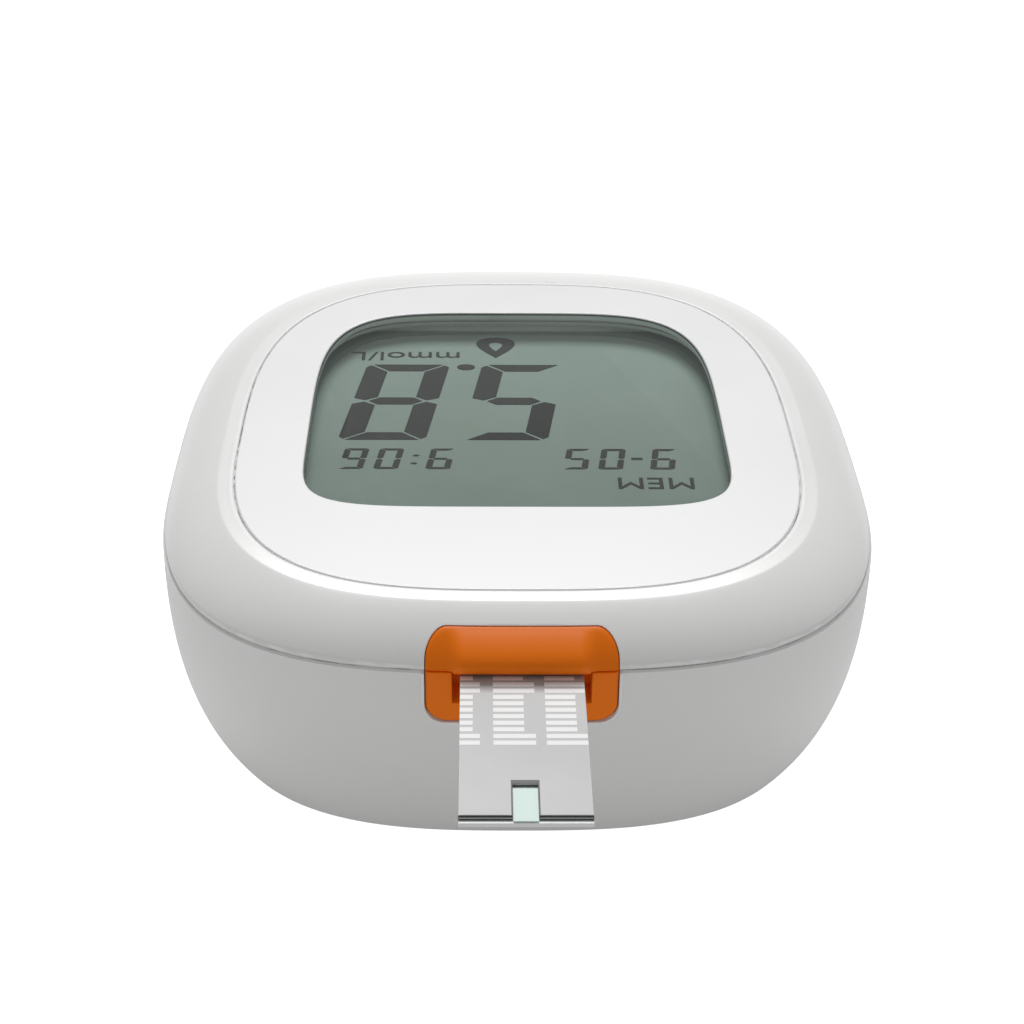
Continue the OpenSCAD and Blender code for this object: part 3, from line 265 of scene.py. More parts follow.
def ring_shell_tree():
    """Skins a list of levels into rings: each level has its own reach and squareness."""
    tree, start = start_tree("Ring shell", [("Steps Round", "NodeSocketInt"),
                                            ("Widest Line", "NodeSocketFloat")])
    levels = add_node(tree, "GeometryNodeAttributeDomainSize", start.outputs["Geometry"],
                      component="MESH").outputs["Point Count"]
    columns = add_node(tree, "ShaderNodeMath", start.outputs["Steps Round"], 1.0,
                       operation="ADD")
    grid = add_node(tree, "GeometryNodeMeshGrid",
                    sockets={"Vertices X": levels, "Vertices Y": columns})
    index = add_node(tree, "GeometryNodeInputIndex")
    share = add_node(tree, "ShaderNodeMath", index, columns, operation="DIVIDE")
    level = add_node(tree, "ShaderNodeMath", share, operation="FLOOR")
    used = add_node(tree, "ShaderNodeMath", level, columns, operation="MULTIPLY")
    step = add_node(tree, "ShaderNodeMath", index, used, operation="SUBTRACT")
    turn = add_node(tree, "ShaderNodeMath", step, start.outputs["Steps Round"],
                    operation="DIVIDE")
    angle = add_node(tree, "ShaderNodeMath", turn, 2 * pi, operation="MULTIPLY")

    parts = []
    for name in ("reach", "form"):
        value = add_node(tree, "GeometryNodeInputNamedAttribute", name,
                         data_type="FLOAT_VECTOR")
        here = add_node(tree, "GeometryNodeSampleIndex", start.outputs["Geometry"],
                        value, data_type="FLOAT_VECTOR", domain="POINT")
        tree.links.new(level.outputs[0], here.inputs["Index"])
        parts.append(add_node(tree, "ShaderNodeSeparateXYZ", here).outputs)
    (side, far, near), (power_far, power_near, height) = parts

    along = add_node(tree, "ShaderNodeMath", angle, operation="COSINE")
    back = add_node(tree, "ShaderNodeMath", angle, operation="SINE")
    is_far = add_node(tree, "ShaderNodeMath", back, 0.0, operation="GREATER_THAN")
    reach = add_node(tree, "ShaderNodeMix", is_far, None, near, far)
    power = add_node(tree, "ShaderNodeMix", is_far, None, power_near, power_far)
    spread = []
    for way in (along, back):
        size = add_node(tree, "ShaderNodeMath", way, operation="ABSOLUTE")
        spread.append(add_node(tree, "ShaderNodeMath", size, power, operation="POWER"))
    total = add_node(tree, "ShaderNodeMath", *spread, operation="ADD")
    root = add_node(tree, "ShaderNodeMath", -1.0, power, operation="DIVIDE")
    scale = add_node(tree, "ShaderNodeMath", total, root, operation="POWER")

    out_x = add_node(tree, "ShaderNodeMath", side, along, operation="MULTIPLY")
    out_y = add_node(tree, "ShaderNodeMath", reach, back, operation="MULTIPLY")
    x = add_node(tree, "ShaderNodeMath", out_x, scale, operation="MULTIPLY")
    y = add_node(tree, "ShaderNodeMath", out_y, scale, start.outputs["Widest Line"],
                 operation="MULTIPLY_ADD")
    place = add_node(tree, "ShaderNodeCombineXYZ", x, y, height)
    rings = add_node(tree, "GeometryNodeSetPosition", grid, None, place)
    closed = add_node(tree, "GeometryNodeMergeByDistance", rings,
                      sockets={"Distance": MERGE})
    return end_tree(tree, start, closed)


def copies_tree():
    """Puts a copy of one piece at each point."""
    tree, start = start_tree("Copies at points", [("Piece", "NodeSocketObject")])
    piece = add_node(tree, "GeometryNodeObjectInfo", start.outputs["Piece"])
    copies = add_node(tree, "GeometryNodeInstanceOnPoints", start.outputs["Geometry"],
                      sockets={"Instance": piece.outputs["Geometry"]})
    return end_tree(tree, start, copies)


def bars_tree():
    """Prints a column of bars of which every few are long."""
    tree, start = start_tree("Printed bars", [
        ("Count", "NodeSocketInt"), ("Pitch", "NodeSocketFloat"),
        ("Bar Width", "NodeSocketFloat"), ("Short", "NodeSocketFloat"),
        ("Long", "NodeSocketFloat"), ("Group", "NodeSocketInt"),
        ("Ink", "NodeSocketFloat")])
    step = add_node(tree, "ShaderNodeCombineXYZ", 0.0, start.outputs["Pitch"], 0.0)
    line = add_node(tree, "GeometryNodeMeshLine",
                    sockets={"Count": start.outputs["Count"], "Offset": step})
    index = add_node(tree, "GeometryNodeInputIndex")
    place = add_node(tree, "ShaderNodeMath", index, start.outputs["Group"],
                     operation="MODULO")
    is_long = add_node(tree, "ShaderNodeMath", place, 1.5, operation="LESS_THAN")
    width = add_node(tree, "ShaderNodeMix", is_long, None, start.outputs["Short"],
                     start.outputs["Long"])
    half = add_node(tree, "ShaderNodeMath", width, 0.5, operation="MULTIPLY")
    shift = add_node(tree, "ShaderNodeCombineXYZ", half, 0.0, 0.0)
    moved = add_node(tree, "GeometryNodeSetPosition", line,
                     sockets={"Offset": shift})
    size = add_node(tree, "ShaderNodeCombineXYZ", width, start.outputs["Bar Width"],
                    start.outputs["Ink"])
    bar = add_node(tree, "GeometryNodeMeshCube")
    copies = add_node(tree, "GeometryNodeInstanceOnPoints", moved,
                      sockets={"Instance": bar.outputs["Mesh"], "Scale": size})
    return end_tree(tree, start, copies)


def placed(name, data):
    """An object in the scene that holds the data."""
    piece = bpy.data.objects.new(name, data)
    bpy.context.scene.collection.objects.link(piece)
    return piece


def grow(name, mesh, tree, settings):
    """Runs a node tree on a mesh and returns the outcome as a plain object."""
    piece = placed(name, mesh)
    modifier = piece.modifiers.new(tree.name, "NODES")
    modifier.node_group = tree
    for item in tree.interface.items_tree:
        if item.in_out == "INPUT" and item.name in settings:
            modifier[item.identifier] = settings[item.name]
    settle(piece)
    return piece


def settle(piece):
    """Makes what a piece's modifiers give its own mesh, and removes them."""
    bpy.context.view_layer.update()
    graph = bpy.context.evaluated_depsgraph_get()
    mesh = bpy.data.meshes.new_from_object(piece.evaluated_get(graph), depsgraph=graph)
    if not mesh.polygons:
        raise RuntimeError(f"{piece.name} came out empty")
    piece.modifiers.clear()
    piece.data = mesh


# ------------------------------------------------------------------ solids

Ring = namedtuple("Ring", "side far near power_far power_near height")


def new_piece(name, points, faces, merge=MERGE):
    """An object of its own mesh, closed, with its faces outwards."""
    mesh = bpy.data.meshes.new(name)
    mesh.from_pydata(points, [], faces)
    return close_up(placed(name, mesh), merge)


def close_up(piece, merge=MERGE):
    """Merges doubles and turns the faces outwards."""
    work = bmesh.new()
    work.from_mesh(piece.data)
    bmesh.ops.remove_doubles(work, verts=work.verts, dist=merge)
    bmesh.ops.recalc_face_normals(work, faces=work.faces)
    work.to_mesh(piece.data)
    work.free()
    return piece


def ring_shell(name, rings, case):
    """A closed skin through rings, from the node tree."""
    mesh = bpy.data.meshes.new(name)
    mesh.from_pydata([(0, 0, ring.height) for ring in rings], [], [])
    reach = mesh.attributes.new("reach", "FLOAT_VECTOR", "POINT")
    reach.data.foreach_set("vector", [v for r in rings for v in (r.side, r.far, r.near)])
    form = mesh.attributes.new("form", "FLOAT_VECTOR", "POINT")
    form.data.foreach_set("vector", [v for r in rings
                                     for v in (r.power_far, r.power_near, r.height)])
    piece = grow(name, mesh, trees["Ring shell"],
                 {"Steps Round": case.around, "Widest Line": case.widest_y})
    return close_up(piece)


def loft(name, loops):
    """A closed solid through loops of equally many points, with flat ends."""
    count = len(loops[0])
    points = [point for loop in loops for point in loop]
    faces = [(k * count + i, k * count + (i + 1) % count,
              (k + 1) * count + (i + 1) % count, (k + 1) * count + i)
             for k in range(len(loops) - 1) for i in range(count)]
    faces += [tuple(range(count)), tuple(range(len(points) - count, len(points)))]
    return new_piece(name, points, faces)


def turned(name, profile, centre, axis="Z", steps=64):
    """A solid of revolution: profile is a list of (radius, place along the axis)."""
    def place(radius, along, angle):
        a, b = radius * cos(angle), radius * sin(angle)
        offset = {"Y": (b, along, a), "Z": (a, b, along)}[axis]
        return Vector(centre) + Vector(offset)

    angles = [2 * pi * i / steps for i in range(steps)]
    return loft(name, [[place(r, h, a) for a in angles] for r, h in profile])


def bead(radius, height, rounding, way=1, steps=4):
    """Profile points of a rounded edge; way is 1 at an upper edge and -1 at a lower one."""
    points = [(radius - inward, height - way * down)
              for inward, down in rounded(rounding, steps)]
    return points if way > 0 else points[::-1]


def block(name, low, high, rounding=0.0, steps=3):
    """A box between two corners, its edges rounded if asked."""
    work = bmesh.new()
    bmesh.ops.create_cube(work, size=1)
    low, high = Vector(low), Vector(high)
    bmesh.ops.scale(work, vec=high - low, verts=work.verts)
    bmesh.ops.translate(work, vec=(low + high) / 2, verts=work.verts)
    if rounding:
        bmesh.ops.bevel(work, geom=work.edges, offset=rounding, segments=steps,
                        profile=0.5, affect="EDGES")
    mesh = bpy.data.meshes.new(name)
    work.to_mesh(mesh)
    work.free()
    return placed(name, mesh)


def combine(piece, others, operation="DIFFERENCE"):
    """Cuts, keeps or adds the others' shapes, which are used up."""
    for other in others:
        modifier = piece.modifiers.new(other.name, "BOOLEAN")
        modifier.object = other
        modifier.operation = operation
        modifier.solver = "MANIFOLD"
    settle(piece)
    for other in others:
        bpy.data.objects.remove(other)
    return piece


def join(piece, others):
    """Puts the others' meshes into the piece's, as they are."""
    work = bmesh.new()
    for part in [piece] + others:
        work.from_mesh(part.data)
    work.to_mesh(piece.data)
    work.free()
    for other in others:
        bpy.data.objects.remove(other)
    return piece


def node_copy(name, node):
    """A piece with a CAD node's shape, its doubles merged and its flat faces whole."""
    piece = placed(name, frame["nodes"][node].data.copy())
    piece.data.materials.clear()
    work = bmesh.new()
    work.from_mesh(piece.data)
    bmesh.ops.remove_doubles(work, verts=work.verts, dist=MERGE)
    bmesh.ops.dissolve_limit(work, angle_limit=radians(1), verts=work.verts,
                             edges=work.edges)
    work.to_mesh(piece.data)
    work.free()
    return piece


def bevelled(piece, width, angle=35, steps=3):
    """Rounds the piece's edges."""
    modifier = piece.modifiers.new("Edges", "BEVEL")
    modifier.width = width
    modifier.segments = steps
    modifier.limit_method = "ANGLE"
    modifier.angle_limit = radians(angle)
    modifier.use_clamp_overlap = True
    settle(piece)
    return piece


def smooth(piece, angle=30, weighted=True):
    """Smooth shading that breaks at the sharp edges; weighting keeps flat faces flat."""
    piece.data.shade_smooth()
    piece.data.set_sharp_from_angle(angle=radians(angle))
    if weighted:
        modifier = piece.modifiers.new("Normals", "WEIGHTED_NORMAL")
        modifier.keep_sharp = True
        settle(piece)
    return piece


def double(piece):
    """A second object with its own copy of the mesh."""
    return placed(piece.name + "_skin", piece.data.copy())


def shaded_like(piece, skin):
    """Shades what the cuts left whole as the uncut skin is shaded; the skin is used up."""
    smooth(piece, weighted=False)
    smooth(skin, weighted=False)
    sharp = {v for edge in piece.data.edges if edge.use_edge_sharp for v in edge.vertices}
    whole = piece.vertex_groups.new(name="whole")
    whole.add([v.index for v in piece.data.vertices if v.index not in sharp], 1, "ADD")
    modifier = piece.modifiers.new("Shading", "DATA_TRANSFER")
    modifier.object = skin
    modifier.use_loop_data = True
    modifier.data_types_loops = {"CUSTOM_NORMAL"}
    modifier.loop_mapping = "POLYINTERP_NEAREST"
    modifier.use_max_distance = True
    modifier.max_distance = 0.01 * MM
    modifier.vertex_group = whole.name
    settle(piece)
    piece.vertex_groups.clear()
    bpy.data.objects.remove(skin)
    return piece


def finish_piece(piece, material, body, nodes):
    """Gives a finished piece its material and body, and hides the nodes that it stands for."""
    piece.data.materials.clear()
    piece.data.materials.append(material)
    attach(piece, body)
    if nodes:
        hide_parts(*nodes)
    return piece


def pass_light(sheet):
    """Lets lamp light cross a clear sheet, so that what lies under several of them is lit."""
    sheet.visible_shadow = False
    sheet.visible_diffuse = False


# ------------------------------------------------------------------ outlines of the case

def centre_point(height):
    """A level drawn in to one point, which closes a skin."""
    return Ring(0, 0, 0, 2, 2, height)


def case_ring(sizes, side, far, near, height, power=None):
    """A level of the case, moved in from its widest outline."""
    power = power or sizes.corner_power
    return Ring(HALF_W - side, HALF_L - sizes.widest_y - far,
                HALF_L + sizes.widest_y - near, power, power, height)


def even_ring(sizes, inset, height):
    """A level of the case, moved in equally all round."""
    return case_ring(sizes, inset, inset, inset, height)


def bowl_ring(sizes, height, inset=0.0):
    """A level of the lower shell, whose wall curves in towards the base."""
    depth = (max(PART_Z - height, 0) / (PART_Z - BASE_Z)) ** sizes.bowl_power
    rise = (height - BASE_Z) / sizes.base_round
    if rise < 1:
        inset += sizes.base_round * (1 - sqrt(max(1 - (1 - rise) ** 2, 0)))
    power = sizes.corner_power + (sizes.base_power - sizes.corner_power) * depth
    return case_ring(sizes, sizes.base_inset_side * depth + inset,
                     sizes.base_inset_end * depth + inset,
                     sizes.base_inset_end * depth + inset, height, power)


SHOULDER_LOW = radians(20)
SHOULDER_HIGH = radians(56)


def shoulder_ring(sizes, share):
    """A level of the upper shell's shoulder; share runs from the parting line to the ring."""
    turn = SHOULDER_LOW + (SHOULDER_HIGH - SHOULDER_LOW) * share
    inward = (cos(SHOULDER_LOW) - cos(turn)) / (cos(SHOULDER_LOW) - cos(SHOULDER_HIGH))
    upward = (sin(turn) - sin(SHOULDER_LOW)) / (sin(SHOULDER_HIGH) - sin(SHOULDER_LOW))
    top = TOP_Z - sizes.ring_drop
    return case_ring(sizes, (PANEL_SIDE_INSET - sizes.ring_width) * inward,
                     (PANEL_FAR_INSET - sizes.ring_width) * inward,
                     (PANEL_NEAR_INSET - sizes.ring_width) * inward,
                     PART_Z + (top - PART_Z) * upward)


def shoulder_share(sizes, height):
    """Where on the shoulder a height lies."""
    top = TOP_Z - sizes.ring_drop
    upward = min(max((height - PART_Z) / (top - PART_Z), 0), 1)
    low, high = sin(SHOULDER_LOW), sin(SHOULDER_HIGH)
    return (asin(low + upward * (high - low)) - SHOULDER_LOW) / (SHOULDER_HIGH - SHOULDER_LOW)


def panel_ring(sizes, grow_by, height):
    """A level of the face panel's outline, grown outwards."""
    return case_ring(sizes, PANEL_SIDE_INSET - grow_by, PANEL_FAR_INSET - grow_by,
                     PANEL_NEAR_INSET - grow_by, height)


def window_ring(case, display, grow_by, height):
    """A level of the window's outline, grown outwards."""
    low, high = lowest("display_lens"), highest("display_lens")
    out = display.flange - grow_by
    return Ring(high.x - out, high.y - case.widest_y - out, case.widest_y - low.y - out,
                display.power_far, display.power_near, height)


def case_front(sizes, x, height):
    """Y of the port end of the case, at x and a height."""
    if height >= PART_Z:
        ring = shoulder_ring(sizes, shoulder_share(sizes, height))
    else:
        ring = bowl_ring(sizes, height)
    across = (1 - abs(x / ring.side) ** ring.power_near) ** (1 / ring.power_near)
    return sizes.widest_y - ring.near * across


def spaced(start, stop, count):
    """Evenly spaced numbers, both ends included."""
    return [start + (stop - start) * i / count for i in range(count + 1)]


def rounded(radius, steps=4):
    """Steps (inward, down) round a rounded edge, from its wall to its flat."""
    return [(radius * (1 - cos(t)), radius * (1 - sin(t))) for t in spaced(0, pi / 2, steps)]


# ------------------------------------------------------------------ finishes

def new_material(name, colour, roughness, ior=1.5, **sockets):
    """A material with one principled shader, and its tree."""
    material = bpy.data.materials.new(name)
    material.use_nodes = True
    shader = material.node_tree.nodes["Principled BSDF"]
    shader.inputs["Base Color"].default_value = (*colour, 1)
    shader.inputs["Roughness"].default_value = roughness
    shader.inputs["IOR"].default_value = ior
    for label, value in sockets.items():
        shader.inputs[label.replace("_", " ")].default_value = value
    return material, material.node_tree, shader


DRIFT_SIZE = 9 * MM  # size of the patches over which roughness and shade drift
NOISE_LOW, NOISE_HIGH = 0.3, 0.7  # span of a noise's values that is mapped, clamped beyond
MIX_A, MIX_B = 6, 7  # the colour sockets of a Mix node


def textured(tree, shader, grain, depth, roughness, spread=0.03, wear=0.0, colour=None):
    """Grain of a given size and depth, under a drift in roughness and, if worn, in shade."""
    where = add_node(tree, "ShaderNodeTexCoord").outputs["Object"]
    fine = add_node(tree, "ShaderNodeTexNoise", sockets={
        "Vector": where, "Scale": 1 / grain, "Detail": 3.0, "Roughness": 0.55})
    bump = add_node(tree, "ShaderNodeBump", sockets={
        "Strength": 1.0, "Distance": depth, "Height": fine.outputs["Fac"]})
    tree.links.new(bump.outputs[0], shader.inputs["Normal"])
    broad = add_node(tree, "ShaderNodeTexNoise", sockets={
        "Vector": where, "Scale": 1 / DRIFT_SIZE, "Detail": 4.0, "Roughness": 0.6})
    drift = add_node(tree, "ShaderNodeMapRange", broad.outputs["Fac"], NOISE_LOW, NOISE_HIGH,
                     roughness - spread, roughness + spread)
    tree.links.new(drift.outputs[0], shader.inputs["Roughness"])
    if wear:
        shade = add_node(tree, "ShaderNodeMapRange", broad.outputs["Fac"], NOISE_LOW,
                         NOISE_HIGH, 1 - wear, 1.0)
        mixed = add_node(tree, "ShaderNodeMix", sockets={
            "Factor": 1.0, MIX_A: (*colour, 1), MIX_B: shade}, data_type="RGBA",
            blend_type="MULTIPLY")
        tree.links.new(mixed.outputs["Result"], shader.inputs["Base Color"])


def white_abs(colours):
    """Moulded ABS, polished tool: white with a soft broad sheen and the faintest ripple."""
    material, tree, shader = new_material("White ABS satin", colours.upper, 0.3, 1.53)
    textured(tree, shader, 1.2 * MM, 0.0025 * MM, 0.3, 0.03, 0.012, colours.upper)
    return material


def lower_abs(colours):
    """Moulded ABS, fine spark-eroded tool: the lower shell's sheen is broader and duller."""
    material, tree, shader = new_material("Off-white ABS", colours.lower, 0.42, 1.53)
    textured(tree, shader, 0.35 * MM, 0.004 * MM, 0.42, 0.04, 0.015, colours.lower)
    return material


def printed_panel(colours):
    """Back-printed polycarbonate: an even white under a thin clear gloss."""
    material, tree, shader = new_material("Printed panel", colours.panel, 0.34, 1.58,
                                          Coat_Weight=0.25, Coat_Roughness=0.12)
    textured(tree, shader, 3.0 * MM, 0.0015 * MM, 0.34, 0.02, 0.008, colours.panel)
    return material


def orange_abs(colours):
    """Moulded ABS, orange: saturated, with a soft highlight on its rounded edge."""
    material, tree, shader = new_material("Orange ABS", colours.orange, 0.33, 1.53,
                                          Specular_IOR_Level=0.2)
    textured(tree, shader, 0.5 * MM, 0.003 * MM, 0.33, 0.04, 0.03, colours.orange)
    return material


def clear_pane(name, tone, roughness, slant):
    """Thin clear sheet; slant is how strongly its skin mirrors edge-on, and 0 is not at all."""
    material = bpy.data.materials.new(name)
    material.use_nodes = True
    tree = material.node_tree
    tree.nodes.remove(tree.nodes["Principled BSDF"])
    facing = add_node(tree, "ShaderNodeLayerWeight", 0.5).outputs["Facing"]
    steep = add_node(tree, "ShaderNodeMath", facing, 5.0, operation="POWER")
    edge = add_node(tree, "ShaderNodeMath", steep, slant, slant * 0.04,
                    operation="MULTIPLY_ADD")
    through = add_node(tree, "ShaderNodeBsdfTransparent", (*tone, 1))
    mirror = add_node(tree, "ShaderNodeBsdfAnisotropic", (1, 1, 1, 1), roughness)
    mixed = add_node(tree, "ShaderNodeMixShader", edge, through, mirror)
    tree.links.new(mixed.outputs[0], tree.nodes["Material Output"].inputs["Surface"])
    return material


def screen_film_painted_shade(colours):
    """Grey-green reflective film: dull and faintly rough, with painted shade that darkens its
    colour towards the port end.
    """
    material, tree, shader = new_material("Screen film", colours.screen, 0.6, 1.5)
    textured(tree, shader, 0.4 * MM, 0.002 * MM, 0.6, 0.05)
    where = add_node(tree, "ShaderNodeTexCoord").outputs["Object"]
    along = add_node(tree, "ShaderNodeSeparateXYZ", where).outputs["Y"]
    near, far = lowest("display_lens").y, highest("display_lens").y
    # Painted shade: the film's colour is multiplied down from the far end to the port end.
    painted_near_shade = 0.55
    shade = add_node(tree, "ShaderNodeMapRange", along, near, far, painted_near_shade, 1.0)
    mixed = add_node(tree, "ShaderNodeMix", sockets={
        "Factor": 1.0, MIX_A: (*colours.screen, 1), MIX_B: shade}, data_type="RGBA",
        blend_type="MULTIPLY")
    tree.links.new(mixed.outputs["Result"], shader.inputs["Base Color"])
    return material


def border_with_painted_light():
    """The window's wall: a thin dark line at the top, and below it a pale grey-green that is
    painted light, lightened for the light that the shaded wall doesn't get.
    """
    # Painted light: the pale colour under the dark line is made light to stand in for light on
    # the shaded wall.
    under, line = linear("#CBD5CE"), linear("#3A423E")
    material, tree, shader = new_material("Printed border", under, 0.5)
    textured(tree, shader, 0.5 * MM, 0.002 * MM, 0.5, 0.04)
    where = add_node(tree, "ShaderNodeTexCoord").outputs["Object"]
    height = add_node(tree, "ShaderNodeSeparateXYZ", where).outputs["Z"]
    line_low, line_full = TOP_Z - 0.26 * MM, TOP_Z - 0.2 * MM
    share = add_node(tree, "ShaderNodeMapRange", height, line_low, line_full)
    mixed = add_node(tree, "ShaderNodeMix", sockets={
        "Factor": share, MIX_A: (*under, 1), MIX_B: (*line, 1)}, data_type="RGBA")
    tree.links.new(mixed.outputs["Result"], shader.inputs["Base Color"])
    return material


def plain(name, colour, roughness, grain=0.5, depth=0.004, spread=0.04, wear=0.05, **sockets):
    """A finish of one colour, whose grain's size and depth are given in millimetres."""
    material, tree, shader = new_material(name, colour, roughness, **sockets)
    textured(tree, shader, grain * MM, depth * MM, roughness, spread, wear, colour)
    return material


def plated_steel():
    """Nickel-plated steel: bright, with highlights that a finely uneven skin softens."""
    colour = linear("#B9BABC")
    material, tree, shader = new_material("Nickel plate", colour, 0.28, 1.5, Metallic=1.0)
    textured(tree, shader, 0.15 * MM, 0.002 * MM, 0.28, 0.06, 0.06, colour)
    return material


def paper_floor():
    """Matt white paper on a light table: it glows a little, and more to the camera."""
    colour = linear("#EDEDED")
    material, tree, shader = new_material("White paper", colour, 0.9)
    textured(tree, shader, 1.0 * MM, 0.002 * MM, 0.9, 0.02)
    sight = add_node(tree, "ShaderNodeLightPath").outputs["Is Camera Ray"]
    glow, seen = 0.105, 0.925
    lift = add_node(tree, "ShaderNodeMath", sight, seen - glow, glow,
                    operation="MULTIPLY_ADD")
    shader.inputs["Emission Color"].default_value = (1, 1, 1, 1)
    tree.links.new(lift.outputs[0], shader.inputs["Emission Strength"])
    return material


def solder_mask():
    """Green solder mask on glass cloth: glossy, and faintly uneven over the cloth."""
    colour = linear("#1E6B3C")
    material, tree, shader = new_material("Solder mask", colour, 0.3, 1.5)
    textured(tree, shader, 0.6 * MM, 0.006 * MM, 0.3, 0.05, 0.12, colour)
    return material


# ------------------------------------------------------------------ operators

trees = {}
materials = {}


def make_trees():
    """Builds the geometry node trees, by name."""
    for make in (ring_shell_tree, copies_tree, bars_tree):
        tree = make()
        trees[tree.name] = tree


def copies(name, piece, points):
    """One object with a copy of a piece at each point; the piece is used up."""
    mesh = bpy.data.meshes.new(name)
    mesh.from_pydata([tuple(point) for point in points], [], [])
    made = grow(name, mesh, trees["Copies at points"], {"Piece": piece})
    bpy.data.objects.remove(piece)
    return made


def port_outline(port, grow_by):
    """Points (x, z) round the collar's rounded outline, from low right, anticlockwise."""
    radius = port.corner
    half = COLLAR_HALF + grow_by - radius
    low = COLLAR_BOTTOM - grow_by + radius
    high = COLLAR_TOP + grow_by - radius
    corners = []
    for x, z, start in ((half, low, -90), (half, high, 0), (-half, high, 90),
                        (-half, low, 180)):
        corners.append([(x + radius * cos(angle), z + radius * sin(angle))
                        for angle in spaced(radians(start), radians(start + 90), 8)])
    points = []
    for here, after in zip(corners, corners[1:] + corners[:1]):
        (x0, z0), (x1, z1) = here[-1], after[0]
        points += here
        points += [(x0 + (x1 - x0) * t, z0 + (z1 - z0) * t) for t in spaced(0, 1, 16)[1:-1]]
    return points


def port_opening(case, port, chamfer):
    """Cutter for the collar's opening, flared where it leaves the shell."""
    out = 0.5 * MM
    loops = []
    for grow_by, offset in ((port.gap + chamfer + out, -out), (port.gap, chamfer)):
        outline = port_outline(port, grow_by)
        loops.append([(x, case_front(case, x, z) + offset, z) for x, z in outline])
    front = [(x, -HALF_L - MM, z) for x, _, z in loops[0]]
    back = [(x, COLLAR_BACK + port.gap, z) for x, _, z in loops[1]]
    return loft("port_opening", [front] + loops + [back])


class MeterOperator:
    """What every build step shares: it is registered, undoable and reads the scene's sizes."""

    bl_options = {"REGISTER", "UNDO"}


class METER_OT_upper_case(MeterOperator, bpy.types.Operator):
    """Upper shell: shoulder, bright ring, panel pocket, lip and screw bosses"""

    bl_idname = "meter.upper_case"
    bl_label = "Upper case"

    def execute(self, context):
        case = context.scene.meter_case
        port = context.scene.meter_port
        ceiling = PANEL_Z - case.ceiling
        lip_out = case.wall + case.lip_gap - COVER / 2
        lip_in = case.wall + case.lip_gap + case.lip_wall + COVER
        ring_edge, lip_edge = 0.15 * MM, 0.2 * MM
        panel_fit, seam = 0.02 * MM, 0.01 * MM
        groove_z = TOP_Z - case.groove
        rings = [centre_point(PANEL_Z), panel_ring(case, panel_fit, PANEL_Z),
                 panel_ring(case, panel_fit, groove_z),
                 panel_ring(case, case.panel_gap, groove_z)]
        rings += [panel_ring(case, case.panel_gap + inward, TOP_Z - down)
                  for inward, down in rounded(ring_edge)]
        rings += [panel_ring(case, case.panel_gap + case.ring_width * t,
                             TOP_Z - case.ring_drop * t) for t in spaced(0.3, 0.9, 6)]
        rings += [shoulder_ring(case, share) for share in spaced(1, 0.1, 24)]
        tuck = case.rim_tuck
        foot_z = RIM_Z + seam
        rings += [even_ring(case, tuck * 0.7, PART_Z + tuck / 2),
                  even_ring(case, tuck * 0.8, PART_Z),
                  even_ring(case, tuck, foot_z),
                  even_ring(case, lip_out, foot_z),
                  even_ring(case, lip_out, LIP_Z + lip_edge),
                  even_ring(case, lip_out + lip_edge, LIP_Z),
                  even_ring(case, lip_in, LIP_Z),
                  even_ring(case, lip_in, ceiling - COVER),
                  centre_point(ceiling - COVER)]
        shell = ring_shell("upper_shell", rings, case)
        skin = double(shell)

        inside = node_copy("inside", "upper_case")
        sunk = 0.1 * MM
        core_top = ceiling + 0.3 * MM
        core = ring_shell("core", [
            centre_point(LIP_Z - MM), even_ring(case, lip_out + sunk, LIP_Z - MM),
            even_ring(case, lip_out + sunk, PART_Z - sunk),
            even_ring(case, lip_in - sunk, PART_Z - sunk),
            even_ring(case, lip_in - sunk, core_top), centre_point(core_top)], case)
        combine(inside, [core], "INTERSECT")
        combine(shell, [inside], "UNION")

        low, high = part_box("lcd_front_glass")
        room = 0.2 * MM
        opening = block("glass_opening", (low.x - room, low.y - room, ceiling - MM),
                        (high.x + room, high.y + room, PANEL_Z + MM))
        low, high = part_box("strip_connector")
        side, reach = 0.3 * MM, 2 * MM
        mouth = block("connector_opening", (low.x - side, -HALF_L, LIP_Z - MM),
                      (high.x + side, low.y + reach, PART_Z - seam))
        chamfer = 0.06 * MM
        combine(shell, [opening, mouth, port_opening(case, port, chamfer)])
        shaded_like(shell, skin)
        finish_piece(shell, materials["upper"], "case", ["upper_case"])
        return {"FINISHED"}


def bowl_profile(case, cover=0.0):
    """The lower shell's skin, out along the base, up the wall, over the rim and back in."""
    floor_z = BASE_Z + case.floor + cover
    wall = case.wall + cover
    rings = [centre_point(BASE_Z)]
    rings += [bowl_ring(case, BASE_Z + case.base_round * (1 - cos(turn)))
              for turn in spaced(0, pi / 2, 8)]
    rings += [bowl_ring(case, z)
              for z in spaced(BASE_Z + case.base_round + 0.2 * MM, RIM_Z - case.rim_fall, 40)]
    rings += [bowl_ring(case, RIM_Z, case.rim_ledge), bowl_ring(case, RIM_Z, wall - 0.1 * MM),
              bowl_ring(case, RIM_Z - 0.1 * MM, wall)]
    corner = 0.5 * MM
    rings += [bowl_ring(case, z, wall) for z in spaced(RIM_Z - MM, floor_z + corner, 16)]
    rings += [bowl_ring(case, floor_z + corner * (1 - sin(turn)),
                        wall + corner * (1 - cos(turn))) for turn in spaced(0, pi / 2, 3)]
    return rings + [centre_point(floor_z)]


def bowl_inside(case, extra, top):
    """Solid that fills the lower shell's hollow, moved in by extra."""
    low = BASE_Z + case.floor + extra
    rings = [centre_point(low)]
    rings += [bowl_ring(case, z, case.wall + extra) for z in spaced(low, top, 24)]
    return ring_shell("bowl_inside", rings + [centre_point(top)], case)


def door_block(name, grow_by):
    """The box that the battery door is cut from, grown by a gap."""
    low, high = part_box("battery_door")
    tongue = 0.6 * MM
    return block(name, (low.x + tongue - grow_by, low.y - grow_by, -MM),
                 (high.x - tongue + grow_by, HALF_L + MM, high.z + grow_by))


